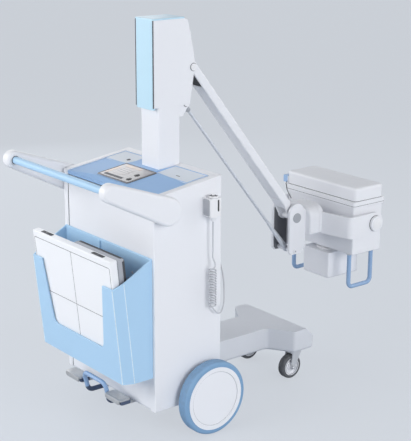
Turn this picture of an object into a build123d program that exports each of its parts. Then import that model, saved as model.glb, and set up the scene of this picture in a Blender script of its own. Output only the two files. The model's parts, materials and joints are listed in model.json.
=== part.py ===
from build123d import *
from math import atan2, degrees, hypot, pi, radians, sin, tan
import os

# Portable x-ray machine: two-wheeled cabinet on a T shaped base with front casters, a fixed column,
# a parallelogram arm and a tube head held in a swivelling yoke.
# Frame: +X is the machine's right, +Y is forward (towards the casters), +Z is up. Millimetres.

os.makedirs("parts", exist_ok=True)

# Fits and clearances
RUN_FIT = 0.05            # radial running clearance of a shaft in its bore
LOOSE = 0.5               # gap between neighbouring loose parts
REST = 0.3                # gap under a part that only rests on its seat
SIDE_PLAY = 1.0           # gap beside a turning eye
SET_BACK = 1.0            # front panel and rim lie this far behind the side panels' edge

# Rear wheels
WHEEL_R = 125.0
TYRE_W = 42.0
TYRE_DEPTH = 17.0         # from tread to rim
TREAD_ROUND = 9.0
RING_W = 14.0             # rim ring seen round the hub's disc
WEB_T = 22.0              # hub web
HUB_PROUD = 1.0           # hub stands this far out of the tyre on each side
AXLE_Y = -248.0
SPINDLE_R = 10.0
SPINDLE_L = 54.0
SPINDLE_FLANGE_R = 24.0
SPINDLE_FLANGE_T = 8.0
BOSS_R = 24.0
BOSS_CONE = 6.0           # slope between the boss and the web
DISC_SUNK = 2.5           # flat outer disc lies this far inside its ring
DISC_STEP = 1.5
WHEEL_GAP = 16.0          # cabinet side to tyre
RIM_R = WHEEL_R - TYRE_DEPTH

# Casters
CAST_R = 45.0
CAST_W = 28.0
CAST_TYRE_DEPTH = 12.0
CAST_TRAIL = 30.0
CAST_HEAD_H = 20.0        # wheel top to cabinet floor level
CAST_PLATE_R = 24.0
CAST_PLATE_T = 8.0
CAST_CHEEK_T = 4.0
CAST_CHEEK_GAP = 3.0
CAST_PIN_R = 5.0
STEM_R = 9.0
STEM_L = 38.0

# Cabinet
CAB_W = 520.0
CAB_H = 714.0             # height of the side panels at the rear
CAB_RISE = 37.5           # the top rises by this towards the front
CAB_T = 25.0              # side panel thickness
CAB_ROUND = 3.0
CAB_Y0 = -451.0           # rear face
CAB_Y1 = -182.0           # front face
FLOOR_T = 4.0
PANEL_T = 3.0
PANEL_IN = 2.0            # rear panel lies this far inside the rear edge
RIM_F = 28.0              # front rim width
SINK = 3.0                # tray lies this far below the rim
TRAY_T = 16.0
HIP_H = 8.0               # rise of the hipped console
HIP_BEZEL = 9.0           # blue border round the display
CAB_Z0 = 2 * CAST_R + CAST_HEAD_H
CAB_ZR = CAB_Z0 + CAB_H
CAB_ZF = CAB_ZR + CAB_RISE
CAB_D = CAB_Y1 - CAB_Y0
IN_X = CAB_W / 2 - CAB_T - LOOSE
SLOPE_L = hypot(CAB_D, CAB_RISE)

# Base: a beam under the cabinet and a swept crossbar over the casters
BASE_H = 84.0
BASE_ROUND = 3.0
BEAM_X = 79.0
BEAM_IN = 12.0            # beam ends this far inside the cabinet's rear
BAR_X = 169.0
BAR_Y_IN = 181.0
BAR_Y0 = 238.0
BAR_Y1 = 294.0
BAR_Y2 = 335.0
BAR_DROP = 38.0           # front slope of the crossbar
BAR_ROUND = 14.0
CROOK_R = 20.0
CAST_IN_X = 51.0          # caster axis in from the crossbar's end
CAST_IN_Y = 43.0          # and back from its front
BASE_Z0 = CAB_Z0 + FLOOR_T
BASE_Z1 = BASE_Z0 + BASE_H
CAST_X = BAR_X - CAST_IN_X
CAST_Y = BAR_Y2 - CAST_IN_Y

# Column and column head
COL_X = 49.0
COL_D = 90.0
COL_FRONT = 5.0           # post front behind the cabinet front
COL_WALL = 6.0
COL_ROUND = 7.0
HEAD_Z0 = 1055.0
HEAD_H = 282.0
CHEEK_T = 9.0
HEAD_FLOOR_T = 12.0
HEAD_TOP_T = 8.0
HEAD_TOP_ROUND = 12.0
HEAD_ROUND = 2.0
NOSE_ROUND = 30.0
COVER_T = 10.0
COVER_BACK = 19.0         # cover's rear face behind the post
COVER_ROUND = 4.0
COVER_IN = 4.0            # cover in from the head's sides
COVER_TOP_T = 5.0
COVER_LAP = 6.0           # cover hangs below the head
COL_Y1 = CAB_Y1 - COL_FRONT
COL_Y0 = COL_Y1 - COL_D
COVER_Y = COL_Y0 - COVER_BACK
HEAD_Z1 = HEAD_Z0 + HEAD_H

# Parallelogram arm: the arm pin in the head, the fork pin, and the rod's offset from both
PIV_FWD = 55.0            # arm pin in front of the post
PIV_UP = 121.0            # and above the head's bottom
FORK_Y = 345.0
FORK_Z = 580.0
ROD_DY = -6.0
ROD_DZ = -126.0
ARM_X = 30.0              # half width
ARM_D = 32.0
ARM_UP = 11.0             # section centre above the pin line
ARM_WALL = 4.0
ARM_ROUND = 5.0
ARM_ROOT_R = 18.0
ARM_EAR_R = 16.0
ARM_EAR_T = 8.0
ARM_EAR_L = 90.0
ARM_END = 50.0            # channel stops this far from the fork pin
PIN_R = 9.0
PIN_CAP_T = 3.0
PIN_CAP_LIP = 3.0
ROD_R = 5.0
ROD_EYE_R = 11.0
ROD_EYE_W = 12.0
ROD_PIN_R = 5.0
LUG_T = 10.0
LUG_DROP = 40.0           # lugs reach this far below the rod pin
LUG_RISE = 24.0
LUG_BRIDGE_T = 8.0
LUG_NOSE_R = 14.0
PIV_Y = COL_Y1 + PIV_FWD
PIV_Z = HEAD_Z0 + PIV_UP

# Fork
FORK_T = 10.0
FORK_SIDE = 10.0          # arm to fork plate
FORK_HALF = 34.0
FORK_TOP = 54.0           # plate above the pin
FORK_BOTTOM = 137.0       # and below it
FORK_CUT = 11.0
FORK_WEB_T = 10.0
FORK_WEB_TOP = 30.0
FORK_CAP_R = 18.0
FORK_X0 = ARM_X + FORK_SIDE
FORK_X1 = FORK_X0 + FORK_T
FORK_ZT = FORK_Z + FORK_TOP
FORK_ZB = FORK_Z - FORK_BOTTOM

# Swivel housing and yoke
SWIVEL_DROP = 29.0        # swivel axis below the fork pin
SWIVEL_L = 45.0
ARCH_X = 75.0             # arch-shaped housing, which the yoke's middle repeats
ARCH_UP = 67.0
ARCH_DOWN = 40.5
ARCH_TOP_R = 44.0
ARCH_FOOT_R = 10.0
ARCH_EDGE = 7.0
SWIVEL_PIN_R = 16.0
SWIVEL_GAP = 1.0
YOKE_DISC_T = 11.0
YOKE_T = 9.0
YOKE_H = 2 * ARCH_DOWN
YOKE_BEND_Y = 24.0        # slanted shoulders from the yoke's middle to its sides
YOKE_BEND_R = 12.0
YOKE_REACH = 150.0        # yoke's rear face to the tilt axis
TILT_PIN_R = 9.0
TILT_PIN_IN = 26.0
KNOB_R = 29.0
KNOB_T = 12.0
HUB_Y0 = FORK_Y + FORK_HALF + FORK_WEB_T
YOKE_Y0 = HUB_Y0 + SWIVEL_L + SWIVEL_GAP + YOKE_DISC_T
TILT_Y = YOKE_Y0 + YOKE_REACH
TILT_Z = FORK_Z - SWIVEL_DROP

# Tube head
HEAD_X = 177.0
HEAD_BACK = 88.0          # rear face behind the tilt axis
HEAD_FWD = 60.0
HEAD_DOWN = 115.0
HEAD_UP = 65.0
HEAD_EDGE = 5.0
HEAD_BORE_L = 22.0        # depth of the tilt bores
FLANGE_OUT_X = 10.0
FLANGE_OUT_BACK = 8.0
FLANGE_OUT_FWD = 4.0
FLANGE_T = 25.0
FLANGE_ROUND = 9.0
LID_OUT_X = 7.0
LID_H = 51.0
LID_IN_FWD = 4.0
LID_ROUND = 14.0
LID_TOP_ROUND = 11.0
YOKE_GAP = 16.0           # head side to yoke
TERM_OUT = 28.0           # cable terminal, out from the flange's left end
TERM_Y = 26.0
TERM_H = 33.0
TERM_UP = 18.0            # its foot above the flange's
TERM_IN = 6.0             # and in from the head's rear
TERM_SINK = 1.5
TERM_ROUND = 4.0
HEAD_Y0 = TILT_Y - HEAD_BACK
HEAD_Y1 = TILT_Y + HEAD_FWD
HEAD_ZB = TILT_Z - HEAD_DOWN
FLANGE_Z0 = TILT_Z + HEAD_UP
FLANGE_Z1 = FLANGE_Z0 + FLANGE_T
LID_Z1 = FLANGE_Z1 + LID_H
LID_X = HEAD_X + LID_OUT_X
YOKE_X = HEAD_X + YOKE_GAP + YOKE_T

# Collimator under the head
COLL_X = 69.0
COLL_HALF_Y = 78.0
COLL_H = 100.0
COLL_BACK = 24.0          # beam axis behind the tilt axis
COLL_ROUND = 6.0
COLL_CHAMFER = 5.0
PORT_H = 15.0
PORT_R = 55.0
PORT_NECK_R = 47.0
BLADE_KNOB_R = 11.0
BLADE_KNOB_L = 9.0
BLADE_KNOB_X = 32.0
COLL_Y = TILT_Y - COLL_BACK
COLL_Z1 = HEAD_ZB - PORT_H
COLL_Z0 = COLL_Z1 - COLL_H

# Grips under the head ends
GRIP_R = 8.0
GRIP_IN_X = 27.0
GRIP_IN_BACK = 13.0
GRIP_IN_FWD = 22.0
GRIP_DROP = 132.0
GRIP_BEND = 20.0

# Cassette bin on the cabinet's rear
BIN_SIDE = 10.0           # bin side in from the cabinet side
BIN_T = 5.0
BIN_LOW = 118.0           # bottom above the cabinet floor level
BIN_TOP = 195.0           # rear edge below the cabinet top
BIN_FRONT_DROP = 79.0
BIN_OUT_LOW = 109.0       # depth at the bottom
BIN_OUT_TOP = 143.0       # depth at the front edge
BIN_CUT_X = 14.0
BIN_CUT_Y = 36.0
WINDOW_TOP_X = 180.0
WINDOW_LOW_X = 148.0
WINDOW_LOW = 101.0        # sill above the bin's bottom
WINDOW_R = 22.0
BIN_RIB_X = -36.0
BIN_RIB_W = 12.0
BIN_RIB_T = 6.0
BIN_X = CAB_W / 2 - BIN_SIDE
BIN_Y = CAB_Y0 - LOOSE
BIN_ZB = CAB_Z0 + BIN_LOW
BIN_ZT = CAB_ZR - BIN_TOP
BIN_ZF = BIN_ZT - BIN_FRONT_DROP
BIN_YB = CAB_Y0 - BIN_OUT_LOW
BIN_YT = CAB_Y0 - BIN_OUT_TOP
BIN_LEAN = degrees(atan2(BIN_YB - BIN_YT, BIN_ZF - BIN_ZB))

# Cassettes standing in the bin: name, left edge, right edge, height, thickness
CASSETTE_X = BIN_X - BIN_CUT_X - BIN_T
GREY_W = 252.0
CASSETTES = [
    ("cassette_white", -CASSETTE_X, CASSETTE_X, 410.0, 26.0),
    ("cassette_grey", CASSETTE_X - GREY_W, CASSETTE_X, 410.0, 25.0),
]
CASSETTE_EDGE = 4.0
CASSETTE_GAP = 1.0

# Push handle
HANDLE_T = 39.0
HANDLE_GAP = 6.0          # cabinet side to handle arm
HANDLE_IN = 33.0          # root inside the cabinet's rear edge
HANDLE_LOW = 39.0         # root below the cabinet top
HANDLE_BACK = 212.0       # root to bar
HANDLE_UP = 91.0
HANDLE_ROOT_R = 46.0
HANDLE_END_R = 30.0
HANDLE_BOSS_R = 30.0
HANDLE_ROUND = 12.0
BAR_R = 12.5
HANDLE_X0 = CAB_W / 2 + HANDLE_GAP
HANDLE_ROOT = (CAB_Y0 + HANDLE_IN, CAB_ZR - HANDLE_LOW)
HANDLE_END = (HANDLE_ROOT[0] - HANDLE_BACK, HANDLE_ROOT[1] + HANDLE_UP)

# Brake bail and pedals
BAIL_R = 7.5
BAIL_GAP = 3.4            # bail's top to the pedal plates
BAIL_TAPER = 4.0
BAIL_IN = 51.0            # foot ends inside the cabinet's rear
BAIL_OUT_LOW = 46.0
BAIL_OUT_TOP = 63.0
BAIL_DROP = 18.0          # foot level below the cabinet
BAIL_RISE = 71.0
BAIL_BEND = 22.0
BAIL_LUG_X = 20.0
BAIL_LUG_Y = 30.0
BAIL_LUG_IN = 8.0
PEDAL_AT = 0.465          # pedal centre as a share of the cabinet's half width
PEDAL_X = 88.0
PEDAL_Y = 44.0
PEDAL_T = 6.0
PEDAL_OUT = 52.0          # pedal centre behind the cabinet
PEDAL_UP = 25.0
PEDAL_EDGE = 8.0
PEDAL_LIP = 14.0          # rear edge turns down by this
STALK_X = 20.0
STALK_T = 10.0
STALK_STEM = 8.0
STALK_OUT = 40.0          # stalk's stem behind the cabinet
STALK_IN = 19.0           # stalk runs on under the cabinet by this
PEDAL_MID = PEDAL_AT * CAB_W / 2
BAIL_TOP_X = PEDAL_MID - PEDAL_X / 2 - BAIL_GAP - BAIL_R
BAIL_X = BAIL_TOP_X - BAIL_TAPER

# Hand switch, its holder and the curly cord
HAND_Y = -236.0
HAND_LOW = 54.0           # holder centre below the cabinet top
HAND_OUT = 25.0           # switch axis from the cabinet side
HAND_R = 12.5
HAND_L = 68.0
HAND_TAPER_L = 14.0
HAND_TAPER_R = 5.0
HOLDER_Y = 46.0
HOLDER_X = 40.0
HOLDER_H = 60.0
HOLDER_ROUND = 5.0
COIL_R = 12.0
COIL_L = 130.0
COIL_DROP = 160.0         # lead between the switch and the coil
CORD_R = 2.5
GLAND_R = 8.0
GLAND_L = 9.0
GLAND_IN = 84.0           # gland in from the cabinet side
GLAND_Z = 572.0
GLAND_X = CAB_W / 2 - GLAND_IN
HAND_X = CAB_W / 2 + HAND_OUT
HAND_Z = CAB_ZR - HAND_LOW
HAND_FOOT = HAND_Z - HAND_L / 2 - HAND_TAPER_L
COIL_Z1 = HAND_FOOT - COIL_DROP
COIL_Z0 = COIL_Z1 - COIL_L

SIDES = [("left", -1), ("right", 1)]
TOP = Plane(origin=(0, CAB_Y0, CAB_ZR), x_dir=(1, 0, 0), z_dir=(0, -CAB_RISE, CAB_D))
TURN_PLANES = {"x": ((1, 0, 0), (0, -1, 0)), "y": ((0, 1, 0), (1, 0, 0)), "z": ((0, 0, 1), (0, 1, 0))}


def save(shape, name):
    """Label a finished piece and write it out."""
    shape.label = name
    export_step(shape, f"parts/{name}.step")


def turned(origin, axis, profile, edge=0.0):
    """Revolve a closed (along, radius) outline about an axis, with its widest corners rounded."""
    along, normal = TURN_PLANES[axis]
    with BuildPart() as piece:
        with BuildSketch(Plane(origin=origin, x_dir=along, z_dir=normal)) as outline:
            with BuildLine():
                Polyline(*profile, close=True)
            make_face()
            if edge:
                fillet(outline.vertices().group_by(Axis.Y)[-1], edge)
        revolve(axis=Axis(origin, along))
    return piece.part


def along_slope(y):
    """Distance up the sloping cabinet top to the place above y."""
    return (y - CAB_Y0) * SLOPE_L / CAB_D


# Cabinet side panels
for side, s in SIDES:
    with BuildPart() as panel:
        with BuildSketch(Plane.YZ.offset(CAB_W / 2 - CAB_T if s > 0 else -CAB_W / 2)):
            with BuildLine():
                Polyline((CAB_Y0, CAB_Z0), (CAB_Y1, CAB_Z0), (CAB_Y1, CAB_ZF), (CAB_Y0, CAB_ZR), close=True)
            make_face()
        extrude(amount=CAB_T)
        fillet(panel.faces().sort_by(Axis.X)[-1 if s > 0 else 0].edges(), CAB_ROUND)
    save(panel.part, f"cabinet_side_{side}")

# Cabinet rear, front and floor panels
PANEL_Z0 = CAB_Z0 + FLOOR_T + SET_BACK
REAR_Z1 = CAB_ZR - TRAY_T - PANEL_IN - SET_BACK
with BuildPart() as rear_panel:
    with BuildSketch(Plane.XZ.offset(-(CAB_Y0 + PANEL_IN + PANEL_T))):
        with Locations((0, (PANEL_Z0 + REAR_Z1) / 2)):
            Rectangle(2 * IN_X, REAR_Z1 - PANEL_Z0)
    extrude(amount=PANEL_T)
save(rear_panel.part, "cabinet_rear_panel")

FRONT_Z1 = CAB_ZF - TRAY_T - PANEL_IN
NOTCH_X = BEAM_X + PANEL_IN
with BuildPart() as front_panel:
    with BuildSketch(Plane.XZ.offset(-(CAB_Y1 - SET_BACK))):
        with Locations((0, (PANEL_Z0 + FRONT_Z1) / 2)):
            Rectangle(2 * IN_X, FRONT_Z1 - PANEL_Z0)
        with Locations((0, PANEL_Z0)):
            Rectangle(2 * NOTCH_X, 2 * (BASE_Z1 + PANEL_IN - PANEL_Z0), mode=Mode.SUBTRACT)
    extrude(amount=PANEL_T)
save(front_panel.part, "cabinet_front_panel")

with BuildPart() as floor_panel:
    with BuildSketch(Plane.XY.offset(CAB_Z0)):
        with Locations((0, (CAB_Y0 + CAB_Y1) / 2)):
            Rectangle(2 * IN_X, CAB_D - 2 * PANEL_T)
    extrude(amount=FLOOR_T)
save(floor_panel.part, "cabinet_floor")

# Heavy inner block: battery, generator and counterweights
BLOCK_SIDE = 70.0
BLOCK_REAR = 15.0
BLOCK_GAP = 9.0
BLOCK_H = 260.0
with BuildPart() as power:
    with BuildSketch(Plane.XY.offset(BASE_Z1)):
        with Locations((0, (CAB_Y0 + BLOCK_REAR + COL_Y0 - BLOCK_GAP) / 2)):
            Rectangle(CAB_W - 2 * BLOCK_SIDE, COL_Y0 - BLOCK_GAP - CAB_Y0 - BLOCK_REAR)
    extrude(amount=BLOCK_H)
save(power.part, "power_block")

# Front rim of the sloping top, notched round the post
RIM_S0 = along_slope(CAB_Y1 - RIM_F)
RIM_S1 = along_slope(CAB_Y1 - SET_BACK)
with BuildPart() as front_rim:
    with BuildSketch(TOP):
        with Locations((0, (RIM_S0 + RIM_S1) / 2)):
            Rectangle(2 * IN_X, RIM_S1 - RIM_S0)
    extrude(amount=-TRAY_T)
    with BuildSketch(Plane.XY.offset(CAB_ZR)):
        with Locations((0, (COL_Y0 + COL_Y1) / 2)):
            Rectangle(2 * (COL_X + LOOSE), COL_D + 2 * LOOSE)
    extrude(amount=2 * CAB_RISE, both=True, mode=Mode.SUBTRACT)
save(front_rim.part, "cabinet_front_rim")

# Control tray: a slab with a hipped console that rises to the display, and two sunk side panels
TRAY_IN = 1.5
DISPLAY_X0, DISPLAY_X1 = -93.0, 82.0
DISPLAY_BACK = 26.0       # display in from the cabinet's rear
DISPLAY_L = 122.0
DISPLAY_T = 3.0
SIDE_PANEL_L = 86.0
SIDE_PANEL_FRONT = 32.0   # side panels end this far behind the cabinet front
SIDE_PANEL_T = 3.0
PANEL_EDGE = 6.0
TRAY_S0 = TRAY_IN
TRAY_S1 = RIM_S0 - LOOSE
DISPLAY_S0 = along_slope(CAB_Y0 + DISPLAY_BACK)
SIDE_S1 = along_slope(CAB_Y1 - SIDE_PANEL_FRONT)

# Plates on the tray: name, x0, x1, s0, s1 (along the slope), level above the rim, thickness
PLATES = [
    ("control_display", DISPLAY_X0, DISPLAY_X1, DISPLAY_S0, DISPLAY_S0 + DISPLAY_L, HIP_H - SINK, DISPLAY_T),
    ("control_panel_left", -IN_X + 3, -99.0, SIDE_S1 - SIDE_PANEL_L, SIDE_S1, -SINK, SIDE_PANEL_T),
    ("control_panel_right", 57.0, IN_X - 6, SIDE_S1 - SIDE_PANEL_L, SIDE_S1, -SINK, SIDE_PANEL_T),
]
with BuildPart() as tray:
    with BuildSketch(TOP.offset(-SINK)):
        with Locations((0, (TRAY_S0 + TRAY_S1) / 2)):
            Rectangle(2 * IN_X, TRAY_S1 - TRAY_S0)
    extrude(amount=SINK - TRAY_T)
    with BuildSketch(TOP.offset(-SINK)):
        with Locations((0, (TRAY_S0 + TRAY_S1) / 2)):
            Rectangle(2 * IN_X - 2 * TRAY_IN, TRAY_S1 - TRAY_S0 - 2 * TRAY_IN)
    with BuildSketch(TOP.offset(HIP_H - SINK)):
        with Locations(((DISPLAY_X0 + DISPLAY_X1) / 2, DISPLAY_S0 + DISPLAY_L / 2)):
            Rectangle(DISPLAY_X1 - DISPLAY_X0 + 2 * HIP_BEZEL, DISPLAY_L + 2 * HIP_BEZEL)
    loft()
    with BuildSketch(TOP.offset(-SINK)):
        for name, x0, x1, s0, s1, level, t in PLATES[1:]:
            with Locations(((x0 + x1) / 2, (s0 + s1) / 2)):
                RectangleRounded(x1 - x0 + 2 * LOOSE, s1 - s0 + 2 * LOOSE, PANEL_EDGE + LOOSE)
    extrude(amount=HIP_H + SINK, mode=Mode.SUBTRACT)
    with BuildSketch(Plane.XY.offset(CAB_ZR)):
        with Locations((0, (COL_Y0 + COL_Y1) / 2)):
            Rectangle(2 * (COL_X + LOOSE), COL_D + 2 * LOOSE)
    extrude(amount=2 * CAB_RISE, both=True, mode=Mode.SUBTRACT)
save(tray.part, "control_tray")

for name, x0, x1, s0, s1, level, t in PLATES:
    with BuildPart() as plate:
        with BuildSketch(TOP.offset(level)):
            with Locations(((x0 + x1) / 2, (s0 + s1) / 2)):
                RectangleRounded(x1 - x0, s1 - s0, PANEL_EDGE)
        extrude(amount=t)
        chamfer(plate.faces().sort_by(Axis.Z)[-1].edges(), t / 3)
    save(plate.part, name)

# Column post
with BuildPart() as post:
    with BuildSketch(Plane.XY.offset(BASE_Z1)):
        with Locations((0, (COL_Y0 + COL_Y1) / 2)):
            RectangleRounded(2 * COL_X, COL_D, COL_ROUND)
            Rectangle(2 * (COL_X - COL_WALL), COL_D - 2 * COL_WALL, mode=Mode.SUBTRACT)
    extrude(amount=HEAD_Z0 - BASE_Z1)
save(post.part, "column_post")

# Column head: a rounded nose about the arm pin, open in front between two cheeks, with the rod's lugs.
# Nose corners: forward of the pin, and height as a share of the head below or above the pin
NOSE_LOW = [(-14.0, 1.0), (-1.0, 0.355)]
NOSE_HIGH = [(8.0, 0.1), (1.0, 0.34), (-13.0, 0.75), (-25.0, 1.0)]
PIV_DOWN = HEAD_H - PIV_UP
NOSE = [(dy, -PIV_UP * share) for dy, share in NOSE_LOW] + [(dy, PIV_DOWN * share) for dy, share in NOSE_HIGH]
HEAD_REAR = COVER_Y + SET_BACK
CHEEK_X = COL_X - CHEEK_T
ROD_Y, ROD_Z = PIV_Y + ROD_DY, PIV_Z + ROD_DZ
LUG_X0 = ROD_EYE_W / 2 + SIDE_PLAY
with BuildPart() as column_head:
    with BuildSketch(Plane.YZ.offset(-COL_X)) as side_view:
        with BuildLine():
            Polyline((HEAD_REAR, HEAD_Z0), *[(PIV_Y + dy, PIV_Z + dz) for dy, dz in NOSE],
                     (HEAD_REAR, HEAD_Z1), close=True)
        make_face()
        nose_corners = side_view.vertices().filter_by(lambda v: v.X > COL_Y1 and HEAD_Z0 < v.Y < HEAD_Z1)
        fillet(nose_corners, NOSE_ROUND)
        fillet(side_view.vertices().group_by(Axis.Y)[-1].sort_by(Axis.X)[-1], HEAD_TOP_ROUND)
    extrude(amount=2 * COL_X)
    fillet(column_head.faces().sort_by(Axis.X)[-1].edges().filter_by(lambda e: e.center().Y > COL_Y1),
           HEAD_ROUND)
    fillet(column_head.faces().sort_by(Axis.X)[0].edges().filter_by(lambda e: e.center().Y > COL_Y1),
           HEAD_ROUND)
    with BuildSketch(Plane.YZ.offset(-CHEEK_X)):
        with BuildLine():
            mouth_y, inner_y = PIV_Y + 4 * PIN_R, COL_Y0 + COL_WALL
            Polyline((inner_y, HEAD_Z0 + HEAD_FLOOR_T), (COL_Y1 + SIDE_PLAY, HEAD_Z0 + HEAD_FLOOR_T),
                     (COL_Y1 + SIDE_PLAY, HEAD_Z0 - HEAD_FLOOR_T), (mouth_y, HEAD_Z0 - HEAD_FLOOR_T),
                     (mouth_y, HEAD_Z1 - HEAD_TOP_T), (inner_y, HEAD_Z1 - HEAD_TOP_T), close=True)
        make_face()
    extrude(amount=2 * CHEEK_X, mode=Mode.SUBTRACT)
    bridge_z = ROD_Z + LUG_RISE - LUG_BRIDGE_T
    with BuildSketch(Plane.XY.offset(bridge_z)):
        with Locations((0, (COL_Y1 + SIDE_PLAY + ROD_Y - LUG_NOSE_R) / 2)):
            Rectangle(2 * COL_X - CHEEK_T, ROD_Y - LUG_NOSE_R - COL_Y1 - SIDE_PLAY)
    extrude(amount=LUG_BRIDGE_T)
    for s in (-1, 1):
        with BuildSketch(Plane.YZ.offset(LUG_X0 if s > 0 else -LUG_X0 - LUG_T)):
            lug_y0, lug_y1 = COL_Y1 + SIDE_PLAY, ROD_Y - LUG_NOSE_R
            with BuildLine():
                Polyline((lug_y0, ROD_Z - LUG_DROP), (lug_y1, ROD_Z - LUG_DROP), (ROD_Y + LUG_NOSE_R, ROD_Z),
                         (lug_y1, ROD_Z + LUG_RISE), (lug_y0, ROD_Z + LUG_RISE), close=True)
            make_face()
            with Locations((ROD_Y, ROD_Z)):
                Circle(LUG_NOSE_R)
        extrude(amount=LUG_T)
    with BuildSketch(Plane.XY.offset(HEAD_Z0)):
        with Locations((0, COVER_Y + COVER_T / 2)):
            Rectangle(2 * (COL_X - COVER_IN), COVER_T)
    extrude(amount=HEAD_H, mode=Mode.SUBTRACT)
    for y, z, r in ((PIV_Y, PIV_Z, PIN_R), (ROD_Y, ROD_Z, ROD_PIN_R)):
        with BuildSketch(Plane.YZ.offset(-COL_X)):
            with Locations((y, z)):
                Circle(r)
        extrude(amount=2 * COL_X, mode=Mode.SUBTRACT)
save(column_head.part, "column_head")

# Blue cover let into the head's rear, with its top plate over the head
with BuildPart() as cover:
    with BuildSketch(Plane.XY.offset(HEAD_Z0 - COVER_LAP)) as plan:
        with Locations((0, COVER_Y + COVER_T / 2)):
            Rectangle(2 * (COL_X - COVER_IN - REST), COVER_T)
        fillet(plan.vertices().group_by(Axis.Y)[0], COVER_ROUND)
    extrude(amount=HEAD_H + COVER_LAP)
    with BuildSketch(Plane.XY.offset(HEAD_Z1)) as plan:
        top_y1 = PIV_Y + NOSE[-1][0] - HEAD_TOP_ROUND
        with Locations((0, (COVER_Y + top_y1) / 2)):
            Rectangle(2 * COL_X, top_y1 - COVER_Y)
        fillet(plan.vertices().group_by(Axis.Y)[0], COVER_ROUND)
    extrude(amount=COVER_TOP_T)
    fillet(cover.faces().sort_by(Axis.Z)[-1].edges().filter_by(lambda e: e.center().Y < top_y1 - 1),
           COVER_TOP_T / 2)
save(cover.part, "column_cover")


def pivot_pin(origin, r, half, cap_r, collar=None):
    """Cross pin with a cap at each end and, if given, collars of (radius, from, to) beside the eye."""
    outline = [(-half - PIN_CAP_T, 0), (-half - PIN_CAP_T, cap_r), (-half, cap_r), (-half, r)]
    if collar:
        rc, c0, c1 = collar
        outline += [(-c1, r), (-c1, rc), (-c0, rc), (-c0, r)]
    outline += [(-x, radius) for x, radius in reversed(outline)]
    return turned(origin, "x", outline)


# Pins of the parallelogram: name, y, z, radius, half length, cap radius, collar
PINS = [
    ("arm_pin", PIV_Y, PIV_Z, PIN_R, COL_X, PIN_R + PIN_CAP_LIP, (PIN_R + PIN_CAP_LIP, ARM_X + LOOSE, CHEEK_X)),
    ("rod_pin", ROD_Y, ROD_Z, ROD_PIN_R, LUG_X0 + LUG_T, ROD_PIN_R + PIN_CAP_LIP, None),
    ("fork_pin", FORK_Y, FORK_Z, PIN_R, FORK_X1, FORK_CAP_R, (PIN_R + PIN_CAP_LIP, ARM_X + LOOSE, FORK_X0)),
    ("fork_rod_pin", FORK_Y + ROD_DY, FORK_Z + ROD_DZ, ROD_PIN_R, FORK_X1, ROD_PIN_R + PIN_CAP_LIP,
     (ROD_PIN_R + PIN_CAP_LIP, LUG_X0, FORK_X0)),
]
for name, y, z, r, half, cap, collar in PINS:
    save(pivot_pin((0, y, z), r, half, cap, collar), name)

# Main arm: a channel open below, with a boss at the root and two ears at the fork
arm_dir = Vector(0, FORK_Y - PIV_Y, FORK_Z - PIV_Z)
ARM_LEN = arm_dir.length
arm_plane = Plane(origin=(0, PIV_Y, PIV_Z), x_dir=arm_dir.normalized(), z_dir=(1, 0, 0))
section_plane = Plane(origin=(0, PIV_Y, PIV_Z), x_dir=(1, 0, 0), z_dir=arm_dir.normalized())
EAR_S = ARM_LEN - ARM_EAR_L
with BuildPart() as arm:
    with BuildSketch(section_plane):
        with Locations((0, -ARM_UP)):
            RectangleRounded(2 * ARM_X, ARM_D, ARM_ROUND)
    extrude(amount=ARM_LEN - ARM_END)
    with BuildSketch(arm_plane.offset(-ARM_X)):
        Circle(ARM_ROOT_R)
    extrude(amount=2 * ARM_X)
    for s in (-1, 1):
        with BuildSketch(arm_plane.offset(ARM_X - ARM_EAR_T if s > 0 else -ARM_X)):
            with BuildLine():
                Polyline((EAR_S, ARM_UP - ARM_D / 2 + ARM_ROUND), (EAR_S, ARM_UP + ARM_D / 2 - ARM_ROUND),
                         (ARM_LEN, ARM_EAR_R), (ARM_LEN, -ARM_EAR_R), close=True)
            make_face()
            with Locations((ARM_LEN, 0)):
                Circle(ARM_EAR_R)
        extrude(amount=ARM_EAR_T)
    with BuildSketch(section_plane.offset(ARM_ROOT_R + 2 * ARM_WALL)):
        with Locations((0, -ARM_UP + ARM_WALL)):
            Rectangle(2 * (ARM_X - ARM_WALL), ARM_D)
    extrude(amount=EAR_S - ARM_ROOT_R - 4 * ARM_WALL, mode=Mode.SUBTRACT)
    with BuildSketch(arm_plane.offset(-ARM_X)):
        Circle(PIN_R + RUN_FIT)
        with Locations((ARM_LEN, 0)):
            Circle(PIN_R + RUN_FIT)
    extrude(amount=2 * ARM_X, mode=Mode.SUBTRACT)
save(arm.part, "main_arm")

# Parallel rod with an eye at each end
rod_plane = Plane(origin=(0, ROD_Y, ROD_Z), x_dir=arm_dir.normalized(), z_dir=(1, 0, 0))
rod_section = Plane(origin=(0, ROD_Y, ROD_Z), x_dir=(1, 0, 0), z_dir=arm_dir.normalized())
with BuildPart() as rod:
    with BuildSketch(rod_plane.offset(-ROD_EYE_W / 2)):
        with Locations((0, 0), (ARM_LEN, 0)):
            Circle(ROD_EYE_R)
    extrude(amount=ROD_EYE_W)
    with BuildSketch(rod_section.offset(ROD_PIN_R + SIDE_PLAY)):
        Circle(ROD_R)
    extrude(amount=ARM_LEN - 2 * (ROD_PIN_R + SIDE_PLAY))
    with BuildSketch(rod_plane.offset(-ROD_EYE_W / 2)):
        with Locations((0, 0), (ARM_LEN, 0)):
            Circle(ROD_PIN_R + RUN_FIT)
    extrude(amount=ROD_EYE_W, mode=Mode.SUBTRACT)
save(rod.part, "arm_rod")

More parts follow.
